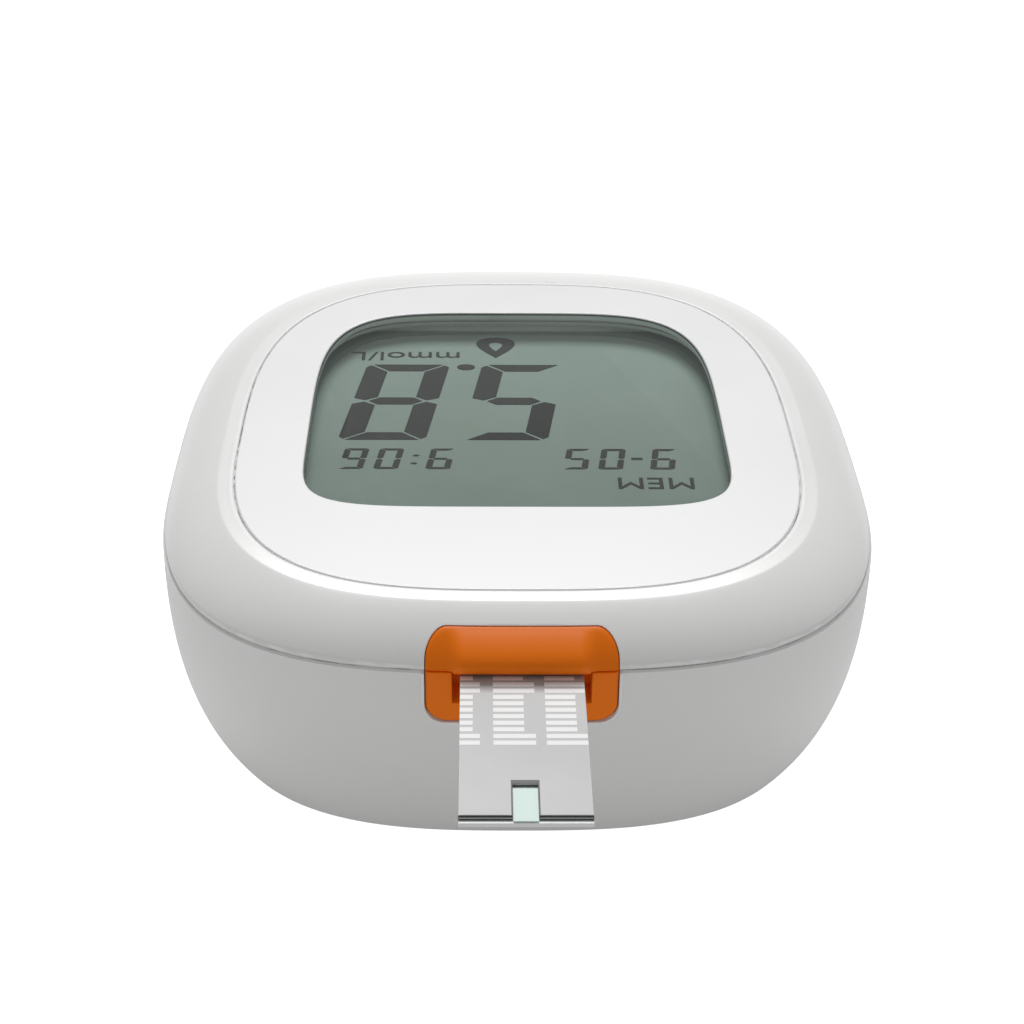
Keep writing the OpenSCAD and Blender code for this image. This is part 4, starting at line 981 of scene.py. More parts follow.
def stadium(name, width, height, centre_z, start_y, stop_y, rounding=0.0):
    """A flat-sided oval bar along Y, its far edge rounded if asked."""
    def loop(y, inset):
        radius = height / 2 - inset
        points = []
        for side, start in ((1, -90), (-1, 90)):
            for angle in spaced(radians(start), radians(start + 180), 20):
                points.append((side * (width - height) / 2 + radius * cos(angle), y,
                               centre_z + radius * sin(angle)))
        return points

    loops = [loop(start_y, 0), loop(stop_y - rounding, 0)]
    if rounding:
        loops += [loop(stop_y - rounding * (1 - sin(t)), rounding * (1 - cos(t)))
                  for t in spaced(pi / 8, pi / 2, 3)]
    return loft(name, loops)


def foot_places():
    """Middles of the four feet, on the floor."""
    low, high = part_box("rubber_feet")
    return [(x, y, 0) for x in (low.x + FOOT_RADIUS, high.x - FOOT_RADIUS)
            for y in (low.y + FOOT_RADIUS, high.y - FOOT_RADIUS)]


def screw_places():
    """Middles of the two case screws at their heads."""
    low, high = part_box("case_screws")
    radius = (high.y - low.y) / 2
    y = (low.y + high.y) / 2
    return [(x, y, low.z) for x in (low.x + radius, high.x - radius)]


class METER_OT_lower_case(MeterOperator, bpy.types.Operator):
    """Lower shell: bowl, battery bay, wells, slots, sound holes and openings"""

    bl_idname = "meter.lower_case"
    bl_label = "Lower case"

    def execute(self, context):
        case = context.scene.meter_case
        port = context.scene.meter_port
        shell = ring_shell("lower_shell", bowl_profile(case, COVER), case)
        skin = double(shell)
        inside = node_copy("inside", "lower_case")
        sunk, under_rim = 0.3 * MM, 1.5 * MM
        combine(inside, [bowl_inside(case, -sunk, RIM_Z - under_rim)], "INTERSECT")
        combine(shell, [inside], "UNION")

        door_opening = door_block("door_opening", DOOR_GAP)
        combine(door_opening, [bowl_inside(case, DOOR_GAP, PART_Z)])
        low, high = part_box("battery_door")
        slot_low, slot_high = BASE_Z + 0.47 * MM, BASE_Z + 1.18 * MM
        outside, within = 0.3 * MM, 0.7 * MM
        tongue_slots = [block("tongue_slot", (min(a, b), low.y + MM, slot_low),
                              (max(a, b), HALF_L + MM, slot_high))
                        for a, b in ((low.x - outside, low.x + within),
                                     (high.x + outside, high.x - within))]

        flare = 0.2 * MM
        well_r = (highest("case_screws").y - lowest("case_screws").y) / 2 + SCREW_WELL
        well = turned("well", [(well_r + flare, -MM), (well_r + flare, BASE_Z),
                               (well_r, BASE_Z + flare),
                               (well_r, lowest("case_screws").z + 1.5 * MM)], (0, 0, 0))
        wells = copies("wells", well, [(x, y, 0) for x, y, _ in screw_places()])
        seat_r = FOOT_RADIUS + 0.05 * MM
        seat = turned("seat", [(seat_r, -MM), (seat_r, BASE_Z + FOOT_IN)], (0, 0, 0))
        seats = copies("seats", seat, foot_places())

        buzzer = middle("buzzer")
        hole_r, mouth_r, mouth_deep = 0.5 * MM, 0.62 * MM, 0.12 * MM
        hole = turned("hole", [(mouth_r, -MM), (mouth_r, BASE_Z),
                               (hole_r, BASE_Z + mouth_deep), (hole_r, 4 * MM)],
                      (0, 0, 0), steps=24)
        circle_r = 2 * MM
        ring = [(buzzer.x + circle_r * cos(a), buzzer.y + circle_r * sin(a), 0)
                for a in spaced(0, 2 * pi * 5 / 6, 5)]
        sound_holes = copies("sound_holes", hole, ring + [(buzzer.x, buzzer.y, 0)])

        controls = context.scene.meter_controls
        chamfer = 0.2 * MM
        cutters = [door_opening, *tongue_slots, wells, seats, sound_holes,
                   port_opening(case, port, chamfer)]
        cutters += ejector_slots(controls) + button_holes(controls)
        combine(shell, cutters)
        shaded_like(shell, skin)
        finish_piece(shell, materials["lower"], "case", ["lower_case"])
        return {"FINISHED"}


def joint_travel(name):
    """How far a joint slides."""
    joint = next(j for j in frame["joints"] if j["name"] == name)
    return max(abs(v) for v in joint["range_m"])


def ejector_places(sizes):
    """Thumb pad (x0, x1, y0, y1) and post (x0, x1, y0, y1) at rest."""
    low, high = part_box("strip_ejector")
    pad_y = high.y - sizes.pad_length / 2
    post_y = pad_y - sizes.pad_shift
    post_x = low.x + sizes.pad_width / 2 + sizes.post_offset
    pad = (low.x, low.x + sizes.pad_width, pad_y - sizes.pad_length / 2,
           pad_y + sizes.pad_length / 2)
    post = (post_x - sizes.post_width / 2, post_x + sizes.post_width / 2,
            post_y - sizes.post_length / 2, post_y + sizes.post_length / 2)
    return pad, post


def ejector_slots(sizes):
    """Recess for the thumb pad and slot for its post, in the lower shell's floor."""
    travel = joint_travel("eject_slide")
    pad, post = ejector_places(sizes)
    depths = (BASE_Z + sizes.recess, BASE_Z + 3 * MM)
    corner = 0.3 * MM
    return [block("slot", (x0 - PAD_GAP, y0 - travel - PAD_GAP, -MM),
                  (x1 + PAD_GAP, y1 + PAD_GAP, depth), corner)
            for (x0, x1, y0, y1), depth in zip((pad, post), depths)]


def button_holes(sizes):
    """Holes for the two buttons, with the pocket for the memory button's flange."""
    low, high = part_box("memory_button")
    z = (low.z + high.z) / 2
    width = 2 * (high.x - sizes.rim)
    height = high.z - low.z - 2 * sizes.rim
    room = 2 * (sizes.rim + BUTTON_GAP)
    hole = stadium("memory_hole", width + 2 * BUTTON_GAP, height + 2 * BUTTON_GAP, z, low.y,
                   HALF_L + MM)
    pocket = stadium("flange_pocket", width + room, height + room, z, low.y - MM,
                     low.y + 0.5 * MM + BUTTON_GAP)
    cap = middle("set_button")
    radius = sizes.cap / 2 + BUTTON_GAP
    edge = 0.2 * MM
    set_hole = turned("set_hole", [(radius + edge, -MM), (radius + edge, BASE_Z),
                                   (radius, BASE_Z + edge), (radius, BASE_Z + 3 * MM)],
                      (cap.x, cap.y, 0))
    return [hole, pocket, set_hole]


class METER_OT_face_panel(MeterOperator, bpy.types.Operator):
    """Flat panel with rounded edges, its window opening and the recess for the lens"""

    bl_idname = "meter.face_panel"
    bl_label = "Face panel"

    def execute(self, context):
        case = context.scene.meter_case
        display = context.scene.meter_display
        seat = display.flange + display.gap
        seat_z = LENS_Z + display.flange_thickness + display.gap
        edge = 0.12 * MM
        turns = rounded(edge)
        rings = [panel_ring(case, -inward, TOP_Z - down) for inward, down in turns[::-1]]
        rings += [panel_ring(case, 0, PANEL_Z), window_ring(case, display, seat, PANEL_Z),
                  window_ring(case, display, seat, seat_z),
                  window_ring(case, display, 0, seat_z)]
        rings += [window_ring(case, display, inward, TOP_Z - down) for inward, down in turns]
        rings.append(rings[0])
        panel = smooth(ring_shell("panel", rings, case))
        finish_piece(panel, materials["panel"], "case", ["face_panel"])
        return {"FINISHED"}


def flat_shapes(name, outlines, low, high):
    """Thin plates of the same thickness from closed outlines of (x, y) points."""
    points, faces = [], []
    for outline in outlines:
        start, count = len(points), len(outline)
        points += [(x, y, low) for x, y in outline] + [(x, y, high) for x, y in outline]
        faces += [tuple(range(start, start + count)),
                  tuple(range(start + count, start + 2 * count))]
        faces += [(start + i, start + (i + 1) % count, start + count + (i + 1) % count,
                   start + count + i) for i in range(count)]
    return new_piece(name, points, faces, FINE_MERGE)


# The bars that light for each digit, from 0: a at the top, then clockwise to f, and g across.
LIT = ("abcdef", "bc", "abged", "abgcd", "fgbc", "afgcd", "afgcde", "abc", "abcdefg",
       "abcdfg")


def digit_outlines(value, width, height, upright, level):
    """Outlines of a lit digit's bars, upright, from its lower left corner."""
    gap = max(0.09 * upright, 0.08 * MM)
    clip = 0.22 * upright
    half = height / 2

    def level_bar(y, way):
        return [(clip + gap, y), (width - clip - gap, y),
                (width - upright - gap, y - way * level),
                (upright + gap, y - way * level)]

    def upright_bar(x, way, low, high, clipped):
        inner = x + way * upright
        tip = 0.5 * upright
        foot, head = (low, high) if clipped == "low" else (high, low)
        rise = 1 if clipped == "low" else -1
        return [(x, foot + rise * (clip * 0.9 + gap)), (x + way * clip * 0.9, foot + rise * gap),
                (inner, foot + rise * (level + gap)), (inner, head - rise * (level / 2 + gap)),
                (x + way * tip, head - rise * gap), (x, head - rise * (clip + gap))]

    bars = {
        "a": level_bar(height, 1), "d": level_bar(0, -1),
        "g": [(0.5 * upright + 2 * gap, half), (upright + gap, half + level / 2),
              (width - upright - gap, half + level / 2), (width - 0.5 * upright - 2 * gap, half),
              (width - upright - gap, half - level / 2), (upright + gap, half - level / 2)],
        "f": upright_bar(0, 1, half, height, "high"),
        "e": upright_bar(0, 1, 0, half, "low"),
        "b": upright_bar(width, -1, half, height, "high"),
        "c": upright_bar(width, -1, 0, half, "low"),
    }
    lean = 0.125
    return [[(x + lean * y, y) for x, y in bars[bar]] for bar in LIT[value]]


def turned_half(outlines, x, y):
    """Outlines turned half round to a place, because the display reads from the far side."""
    return [[(x - px, y - py) for px, py in outline] for outline in outlines]


def oval(width, height, x, y, steps=24):
    """Points round an oval about (x, y)."""
    return [(x + width / 2 * cos(2 * pi * i / steps), y + height / 2 * sin(2 * pi * i / steps))
            for i in range(steps)]


def drop(width, height, x, y, steps=48):
    """A drop whose tip points to the port end."""
    points = []
    for i in range(steps):
        angle = 2 * pi * i / steps
        pinch = sin(angle / 2) ** 1.4
        points.append((x + width / 2 * sin(angle) * pinch * 1.25,
                       y - height / 2 * cos(angle)))
    return points


def writing(name, words, size, centre, stretch=1.0):
    """Words as a thin plate at the segments' height, read from the far side."""
    curve = bpy.data.curves.new(name, "FONT")
    curve.body = words
    curve.size = size
    curve.extrude = (SEGMENT_HIGH - SEGMENT_LOW) / 2
    curve.align_x = "CENTER"
    curve.align_y = "CENTER"
    text = placed(name, curve)
    bpy.context.view_layer.update()
    graph = bpy.context.evaluated_depsgraph_get()
    mesh = bpy.data.meshes.new_from_object(text.evaluated_get(graph))
    bpy.data.objects.remove(text)
    for vertex in mesh.vertices:
        x, y, z = vertex.co
        vertex.co = (centre[0] - x * stretch, centre[1] - y,
                     z + (SEGMENT_LOW + SEGMENT_HIGH) / 2)
    return close_up(placed(name, mesh), FINE_MERGE)


class METER_OT_display(MeterOperator, bpy.types.Operator):
    """Window lens, its border, the display's top sheets, segments and signs"""

    bl_idname = "meter.display"
    bl_label = "Display"

    def execute(self, context):
        case = context.scene.meter_case
        display = context.scene.meter_display
        shoulder_z = LENS_Z + display.flange_thickness
        edge = 0.1 * MM

        def rim(grow_by, z):
            return window_ring(case, display, grow_by, z)

        lens = ring_shell("window_lens", [
            centre_point(LENS_Z), rim(display.flange, LENS_Z),
            rim(display.flange, shoulder_z), rim(-display.gap, shoulder_z),
            rim(-display.gap, LENS_TOP - edge), rim(-display.gap - edge, LENS_TOP),
            centre_point(LENS_TOP)], case)
        finish_piece(smooth(lens), materials["lens"], "case", ["display_lens"])
        pass_light(lens)
        for name, node, finish, slot in (
                ("cover_glass", "lcd_front_glass", "pane", "display_glass"),
                ("polariser_sheet", "lcd_front_polariser", "polariser", "polariser_film")):
            sheet = bevelled(node_copy(name, node), 0.03 * MM)
            finish_piece(smooth(sheet), materials[finish], "case", [node])
            pass_light(sheet)

        clear = 0.004 * MM
        ink_low = shoulder_z + 0.01 * MM
        border = ring_shell("window_border", [
            rim(-clear, ink_low), rim(-display.gap + clear, ink_low),
            rim(-display.gap + clear, TOP_Z - edge), rim(-clear, TOP_Z - edge),
            rim(-clear, ink_low)], case)
        finish_piece(smooth(border), materials["border"], "case", [])

        big = (display.digit_width, display.digit_height, display.upright_stroke,
               display.level_stroke)
        small = (display.small_width, display.small_height, 0.5 * MM, 0.28 * MM)
        left, far = -5.48 * MM, 12.73 * MM
        outlines = turned_half(digit_outlines(8, *big), left, far)
        outlines += turned_half(digit_outlines(5, *big), left + display.digit_pitch, far)
        pitch, sign = small[0] + 0.84 * MM, 1.32 * MM
        small_far = -3.28 * MM
        for start, values in ((-4.82 * MM, (9, 0, 6)), (12.96 * MM, (9, 0, 5))):
            for place, value in enumerate(values):
                x = start - place * pitch - (sign if place else 0)
                outlines += turned_half(digit_outlines(value, *small), x, small_far)
        outlines += [oval(1.55 * MM, 1.15 * MM, -4.07 * MM, 12.25 * MM)]
        outlines += [oval(0.52 * MM, 0.26 * MM, x * MM, y * MM, 12)
                     for x, y in ((-7.97, -4.47), (-8.12, -5.85))]
        dash = (9.64 * MM, -4.98 * MM, 0.46 * MM, 0.17 * MM)
        outlines += [[(dash[0] + a * dash[2], dash[1] + b * dash[3])
                      for a, b in ((-1, -1), (1, -1), (1, 1), (-1, 1))]]
        lit = flat_shapes("lit_segments", outlines, SEGMENT_LOW, SEGMENT_HIGH)

        unit = writing("unit_sign", "mmol/L", 2.45 * MM, (-9.3 * MM, 14.6 * MM), 1.28)
        label = writing("memory_sign", "MEM", 2.7 * MM, (10.9 * MM, -9.05 * MM), 1.15)
        blood = flat_shapes("drop_sign", [drop(3.8 * MM, 4.3 * MM, -1.5 * MM, 16.3 * MM)],
                            SEGMENT_LOW, SEGMENT_HIGH)
        hollow = flat_shapes("hollow", [drop(1.3 * MM, 1.9 * MM, -1.5 * MM, 16.5 * MM)],
                             SEGMENT_LOW - MM, SEGMENT_HIGH + MM)
        combine(blood, [hollow])
        join(lit, [unit, label, blood])
        finish_piece(lit, materials["segments"], "case", ["lcd_segments"])
        return {"FINISHED"}


def collar_shell(name, case, port, upper):
    """Half of the collar: a face that follows the case, rounded at its rim, extruded back."""
    part = PART_Z if upper else RIM_Z
    far_z = COLLAR_TOP if upper else COLLAR_BOTTOM
    slot_z = part - port.lip if upper else PART_Z - port.slot_height
    way = 1 if upper else -1
    half, radius, slot_half = COLLAR_HALF, port.corner, port.slot_width / 2
    corner_z = far_z - way * radius
    rise = abs(corner_z - part)
    across = half - radius

    rows = [((half, part + way * s), (slot_half, part - abs(slot_z - part) * s / rise
                                      * (not upper)))
            for s in [0, 0.02 * MM, 0.05 * MM, 0.09 * MM] + spaced(0.2 * MM, rise, 6)]
    corner = (slot_half, part if upper else slot_z)
    rows += [((half - radius * (1 - cos(t)), corner_z + way * radius * sin(t)), corner)
             for t in spaced(0, pi / 2, 12)[1:]]
    middle_rows = [((x, far_z), (x * slot_half / across, slot_z))
                   for x in spaced(across, -across, 60)[1:-1]]
    rows += middle_rows + [((-x0, z0), (-x1, z1)) for (x0, z0), (x1, z1) in rows[::-1]]

    def edge_fall(inside, edge):
        """How far a rounded edge falls back at a distance inside it."""
        return edge - sqrt(max(edge ** 2 - max(edge - inside, 0) ** 2, 0))

    def swell(z):
        """How far the brow stands out at a height; it turns under at its lip."""
        low, high = PART_Z - port.lip, PART_Z + port.brow_start
        return port.brow_swell * sin(pi * min(max((high - z) / (high - low), 0), 1))

    def face_y(x, z):
        y = case_front(case, x, max(z, part) if upper else z)
        if upper and z < PART_Z + port.brow_start:
            share = min(max((slot_half + 0.5 * MM - abs(x)) / (1.3 * MM), 0), 1)
            share = share * share * (3 - 2 * share)
            y -= swell(z) * share
        dx, dz = abs(x) - across, way * (z - corner_z)
        inside = radius - sqrt(dx * dx + dz * dz) if dx > 0 and dz > 0 else min(
            half - abs(x), abs(far_z - z))
        y += edge_fall(inside, port.edge)
        if abs(x) >= slot_half - 0.1 * MM:
            y += edge_fall(abs(z - part), 0.07 * MM)
        if not upper:
            beside = abs(abs(x) - slot_half) if z > slot_z else port.edge
            below = abs(z - slot_z) if abs(x) <= slot_half else port.edge
            y += edge_fall(min(beside, below), 0.1 * MM)
        return y

    shares = [0, 0.015, 0.035, 0.06, 0.09, 0.13, 0.18] + spaced(0.25, 0.9, 12)
    shares += [0.93, 0.955, 0.975, 0.99, 1]
    count = len(shares)
    front = [(x0 + (x1 - x0) * t, z0 + (z1 - z0) * t)
             for (x0, z0), (x1, z1) in rows for t in shares]
    points = [(x, face_y(x, z), z) for x, z in front]
    points += [(x, COLLAR_BACK, z) for x, z in front]
    back = len(front)
    faces = []
    for i in range(len(rows) - 1):
        for k in range(count - 1):
            a = i * count + k
            faces += [(a, a + 1, a + count + 1, a + count),
                      (back + a, back + a + count, back + a + count + 1, back + a + 1)]
        for a in (i * count, i * count + count - 1):
            faces.append((a, a + count, back + a + count, back + a))
    for i in (0, len(rows) - 1):
        for a in range(i * count, i * count + count - 1):
            faces.append((a, a + 1, back + a + 1, back + a))
    return new_piece(name, points, faces)


def port_bead(case, port):
    """Bead, white as the upper shell, that frames the opening's lower half."""
    radius = port.bead / 2
    outline = [p for p in port_outline(port, port.gap + radius) if p[1] < RIM_Z]
    steps = [abs(b[0] - a[0]) for a, b in zip(outline, outline[1:])]
    start = steps.index(max(steps)) + 1
    path = outline[start:] + outline[:start]
    loops = []
    for i, (x, z) in enumerate(path):
        (x0, z0), (x1, z1) = path[max(i - 1, 0)], path[min(i + 1, len(path) - 1)]
        run = Vector((x1 - x0, 0, z1 - z0)).normalized()
        out = Vector((run.z, 0, -run.x))
        centre = Vector((x, case_front(case, x, z), z))
        loops.append([centre + radius * (cos(a) * out + sin(a) * Vector((0, 1, 0)))
                      for a in spaced(0, 2 * pi, 12)[:-1]])
    return loft("port_bead", loops)


class METER_OT_port_collar(MeterOperator, bpy.types.Operator):
    """Orange collar in two halves, its brow swelling over the slot, and the bead round it"""

    bl_idname = "meter.port_collar"
    bl_label = "Port collar"

    def execute(self, context):
        case = context.scene.meter_case
        port = context.scene.meter_port
        bead_piece = smooth(port_bead(case, port))
        finish_piece(bead_piece, materials["upper"], "case", [])
        side = 0.3 * MM
        low = (STRIP_LOW.x - side, -HALF_L - MM, STRIP_LOW.z - side)
        high = (STRIP_HIGH.x + side, 0, STRIP_TOP + 0.25 * MM)
        for name, upper in (("port_collar_upper", True), ("port_collar_lower", False)):
            half = collar_shell(name.replace("port_", ""), case, port, upper)
            if not upper:
                mouth_y = -HALF_L + port.slot_depth
                wide = port.slot_width / 2 + 0.3 * MM
                wall = block("slot_back", (-wide, mouth_y, PART_Z - port.slot_height - 0.3 * MM),
                             (wide, COLLAR_BACK - 0.01 * MM,
                              PART_Z - port.lip - 0.05 * MM))
                combine(half, [wall], "UNION")
            combine(half, [block("channel", low, high)])
            finish_piece(smooth(half), materials["orange"], "case", [name])
        return {"FINISHED"}


class METER_OT_battery_door(MeterOperator, bpy.types.Operator):
    """Battery door: cut from the bowl's own skin, with side tongues and a ribbed grip"""

    bl_idname = "meter.battery_door"
    bl_label = "Battery door"

    def execute(self, context):
        case = context.scene.meter_case
        low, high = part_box("battery_door")
        door = ring_shell("door", bowl_profile(case), case)
        combine(door, [door_block("door_block", 0)], "INTERSECT")
        groove = block("groove", (-5 * MM, -0.4 * MM, -MM), (5 * MM, 0.4 * MM, 0.35 * MM),
                       0.2 * MM)
        start = highest("link_contact").y - 5.9 * MM
        grooves = copies("grooves", groove,
                         [(0, start + 0.4 * MM + 1.6 * MM * i, BASE_Z) for i in range(5)])
        combine(door, [grooves])
        bevelled(door, 0.12 * MM)
        inner = 1.0 * MM
        tongues = [block("tongue", (min(a, b), low.y + 2 * MM, BASE_Z + 0.55 * MM),
                         (max(a, b), 22 * MM, BASE_Z + 1.1 * MM), 0.1 * MM)
                   for a, b in ((low.x, low.x + inner), (high.x, high.x - inner))]
        combine(door, tongues, "UNION")
        smooth(door)
        finish_piece(door, materials["lower"], "door", ["battery_door"])
        return {"FINISHED"}


class METER_OT_fasteners(MeterOperator, bpy.types.Operator):
    """Case screws in their wells and rubber feet in their seats"""

    bl_idname = "meter.fasteners"
    bl_label = "Screws and feet"

    def execute(self, context):
        foot_edge = 0.22 * MM
        profile = bead(FOOT_RADIUS, 0, foot_edge, -1) + [(FOOT_RADIUS, BASE_Z + FOOT_IN)]
        foot = turned("foot", profile, (0, 0, 0))
        feet = copies("feet", foot, foot_places())
        finish_piece(smooth(feet), materials["rubber"], "case", ["rubber_feet"])

        low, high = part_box("case_screws")
        head = (high.y - low.y) / 2
        shank = head / 1.75 - 0.17 * MM
        head_h = 1.4 * MM
        profile = bead(head, 0, 0.45 * MM, -1, 6) + [(head, head_h), (shank, head_h)]
        profile += [(shank, high.z - low.z - 0.6 * MM), (0.3 * MM, high.z - low.z)]
        screw = turned("screw", profile, (0, 0, 0), steps=48)
        arm, width = 1.0 * MM, 0.22 * MM
        cross = [block("arm", (-a, -b, -MM), (a, b, 0.75 * MM), 0.04 * MM)
                 for a, b in ((arm, width), (width, arm))]
        combine(screw, cross)
        screws = copies("screws", screw, screw_places())
        finish_piece(smooth(screws), materials["steel"], "case", ["case_screws"])
        return {"FINISHED"}


class METER_OT_buttons(MeterOperator, bpy.types.Operator):
    """Memory button in the far end and set button in the underside"""

    bl_idname = "meter.buttons"
    bl_label = "Buttons"

    def execute(self, context):
        sizes = context.scene.meter_controls
        low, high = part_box("memory_button")
        z = (low.z + high.z) / 2
        width = 2 * (high.x - sizes.rim)
        height = high.z - low.z - 2 * sizes.rim
        key = stadium("memory_key", width, height, z, low.y + 0.3 * MM, high.y, 0.35 * MM)
        flange = stadium("flange", 2 * high.x, high.z - low.z, z, low.y, low.y + 0.5 * MM)
        combine(key, [flange], "UNION")
        finish_piece(smooth(key, 40), materials["button"], "memory_key", ["memory_button"])

        low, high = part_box("set_button")
        cap, flange = sizes.cap / 2, (high.x - low.x) / 2
        stem = 1.1 * MM
        flange_z = BASE_Z + context.scene.meter_case.floor + 0.05 * MM
        profile = [(0.15 * MM, low.z + 0.16 * MM), (0.6 * MM, low.z + 0.14 * MM),
                   (1.0 * MM, low.z + 0.07 * MM), (1.25 * MM, low.z)]
        profile += bead(cap, low.z, 0.2 * MM, -1)
        profile += [(cap, flange_z), (flange, flange_z), (flange, flange_z + 0.8 * MM),
                    (stem, flange_z + 0.8 * MM), (stem, high.z)]
        centre = ((low.x + high.x) / 2, (low.y + high.y) / 2, 0)
        button = turned("set_key", profile, centre)
        finish_piece(smooth(button), materials["button"], "set_key", ["set_button"])
        return {"FINISHED"}


class METER_OT_ejector(MeterOperator, bpy.types.Operator):
    """Strip ejector with its thumb pad, its edges rounded, and its spring's finish"""

    bl_idname = "meter.ejector"
    bl_label = "Ejector"

    def execute(self, context):
        ejector = bevelled(node_copy("ejector_slider", "strip_ejector"), 0.09 * MM)
        finish_piece(smooth(ejector), materials["ejector"], "ejector", ["strip_ejector"])
        dress(materials["steel"], "ejector_spring")
        return {"FINISHED"}


class METER_OT_test_strip(MeterOperator, bpy.types.Operator):
    """Test strip: film layers, notch, reagent and white printed bars"""

    bl_idname = "meter.test_strip"
    bl_label = "Test strip"

    def execute(self, context):
        cover_low, cover_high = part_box("strip_cover")
        _, reagent_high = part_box("strip_reagent")
        notch = reagent_high.x + 0.03 * MM
        notch_end = STRIP_LOW.y + 3.9 * MM
        edge = 0.03 * MM

        def film(name, low, high, cut):
            piece = block(name, low, high, edge, 2)
            if cut:
                combine(piece, [block("notch", (-notch, low.y - MM, low.z - MM),
                                      (notch, notch_end, high.z + MM))])
            return smooth(piece)

        base = film("strip_film", STRIP_LOW, STRIP_HIGH, False)
        finish_piece(base, materials["film"], "strip", ["strip_base"])
        spacer = film("strip_glue", *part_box("strip_spacer"), True)
        finish_piece(spacer, materials["glue"], "strip", ["strip_spacer"])
        cover = film("strip_top", cover_low, cover_high, True)
        finish_piece(cover, materials["cover"], "strip", ["strip_cover"])

        ink = 0.008 * MM
        rim = 0.09 * MM
        rim_end = notch_end + 0.4 * MM
        frames = [(-notch - rim, -notch, cover_low.y, rim_end),
                  (notch, notch + rim, cover_low.y, rim_end),
                  (-notch, notch, notch_end, rim_end)]
        outline = [block("notch_rim", (x0, y0, cover_high.z), (x1, y1, cover_high.z + ink))
                   for x0, x1, y0, y1 in frames]
        finish_piece(join(outline[0], outline[1:]), materials["glue"], "strip", [])

        columns = ((cover_low.x + 0.02 * MM, 0.87 * MM, 1.35 * MM),
                   (-2.0 * MM, 2.05 * MM, 2.8 * MM), (1.5 * MM, 2.05 * MM, 2.72 * MM))
        pitch = 0.78 * MM
        bars = []
        for x, short, wide in columns:
            empty = bpy.data.meshes.new("column")
            empty.from_pydata([(0, 0, 0)], [], [])
            column = grow("column", empty, trees["Printed bars"], {
                "Count": 16, "Pitch": pitch, "Bar Width": 0.5 * MM, "Short": short,
                "Long": wide, "Group": 8, "Ink": ink})
            for vertex in column.data.vertices:
                vertex.co += Vector((x, STRIP_LOW.y + 8.5 * MM, cover_high.z + ink / 2))
            bars.append(column)
        printed = join(bars[0], bars[1:])
        printed.name = "strip_print"
        finish_piece(printed, materials["ink"], "strip", [])
        dress(materials["reagent"], "strip_reagent")
        dress(materials["carbon"], "strip_electrodes")
        return {"FINISHED"}


def dress(material, *nodes):
    """Gives CAD nodes that keep their shape a finish."""
    for node in nodes:
        for slot in frame["nodes"][node].material_slots:
            slot.link = "OBJECT"
            slot.material = material


class METER_OT_battery(MeterOperator, bpy.types.Operator):
    """Two cells in plain sleeves, with their contacts"""

    bl_idname = "meter.battery"
    bl_label = "Battery"

    def execute(self, context):
        low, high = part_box("battery_sleeves")
        radius = (high.z - low.z) / 2
        z = (low.z + high.z) / 2
        can_low, can_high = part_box("battery_cells")
        cell_len = can_high.y - can_low.y
        nub, nub_r = 1.0 * MM, 1.9 * MM
        can = radius - 0.15 * MM
        roll = 0.45 * MM
        cans, sleeves = [], []
        for side in (-1, 1):
            centre = (side * (high.x - radius), (can_low.y + can_high.y) / 2, z)
            profile = [(can - 1.4 * MM, -cell_len / 2), (can - 1.0 * MM, -cell_len / 2)]
            profile += bead(can, -cell_len / 2, roll, -1)
            profile += bead(can, cell_len / 2 - nub, roll)
            profile += [(can - 0.9 * MM, cell_len / 2 - nub),
                        (can - 1.1 * MM, cell_len / 2 - nub - 0.12 * MM),
                        (nub_r + 0.5 * MM, cell_len / 2 - nub - 0.12 * MM),
                        (nub_r, cell_len / 2 - nub)]
            profile += bead(nub_r, cell_len / 2, 0.35 * MM)
            flipped = [(r, -side * h) for r, h in profile]
            cans.append(turned("can", flipped, centre, "Y"))
            end = cell_len / 2
            tube = [(can, -end + 0.6 * MM), (radius, -end + 0.6 * MM), (radius, 0),
                    (radius, end - nub - 0.6 * MM), (can, end - nub - 0.6 * MM)]
            sleeves.append(turned("sleeve", [(r, -side * h) for r, h in tube], centre, "Y"))
        cells = join(cans[0], cans[1:])
        cells.name = "cells"
        finish_piece(smooth(cells), materials["can"], "case", ["battery_cells"])
        jackets = join(sleeves[0], sleeves[1:])
        jackets.name = "sleeves"
        finish_piece(smooth(jackets), materials["sleeve"], "case", ["battery_sleeves"])
        dress(materials["steel"], "positive_contact", "negative_contact", "link_contact")
        return {"FINISHED"}


class METER_OT_electronics(MeterOperator, bpy.types.Operator):
    """Finishes of the board, its parts and the layers of the display"""

    bl_idname = "meter.electronics"
    bl_label = "Electronics"

    def execute(self, context):
        dress(materials["screen"], "lcd_reflector", "lcd_rear_glass")
        dress(materials["foam"], "lcd_gasket")
        dress(materials["holder"], "lcd_holder")
        dress(materials["zebra"], "zebra_connectors")
        dress(materials["board"], "main_board")
        dress(materials["steel"], "board_screws", "quartz_crystal", "memory_switch",
              "set_switch")
        dress(materials["epoxy"], "processor_chip", "sensor_chip", "memory_chip",
              "chip_resistors")
        dress(materials["ceramic"], "chip_capacitors")
        dress(materials["black"], "buzzer", "strip_connector")
        dress(materials["gold"], "connector_contacts")
        return {"FINISHED"}


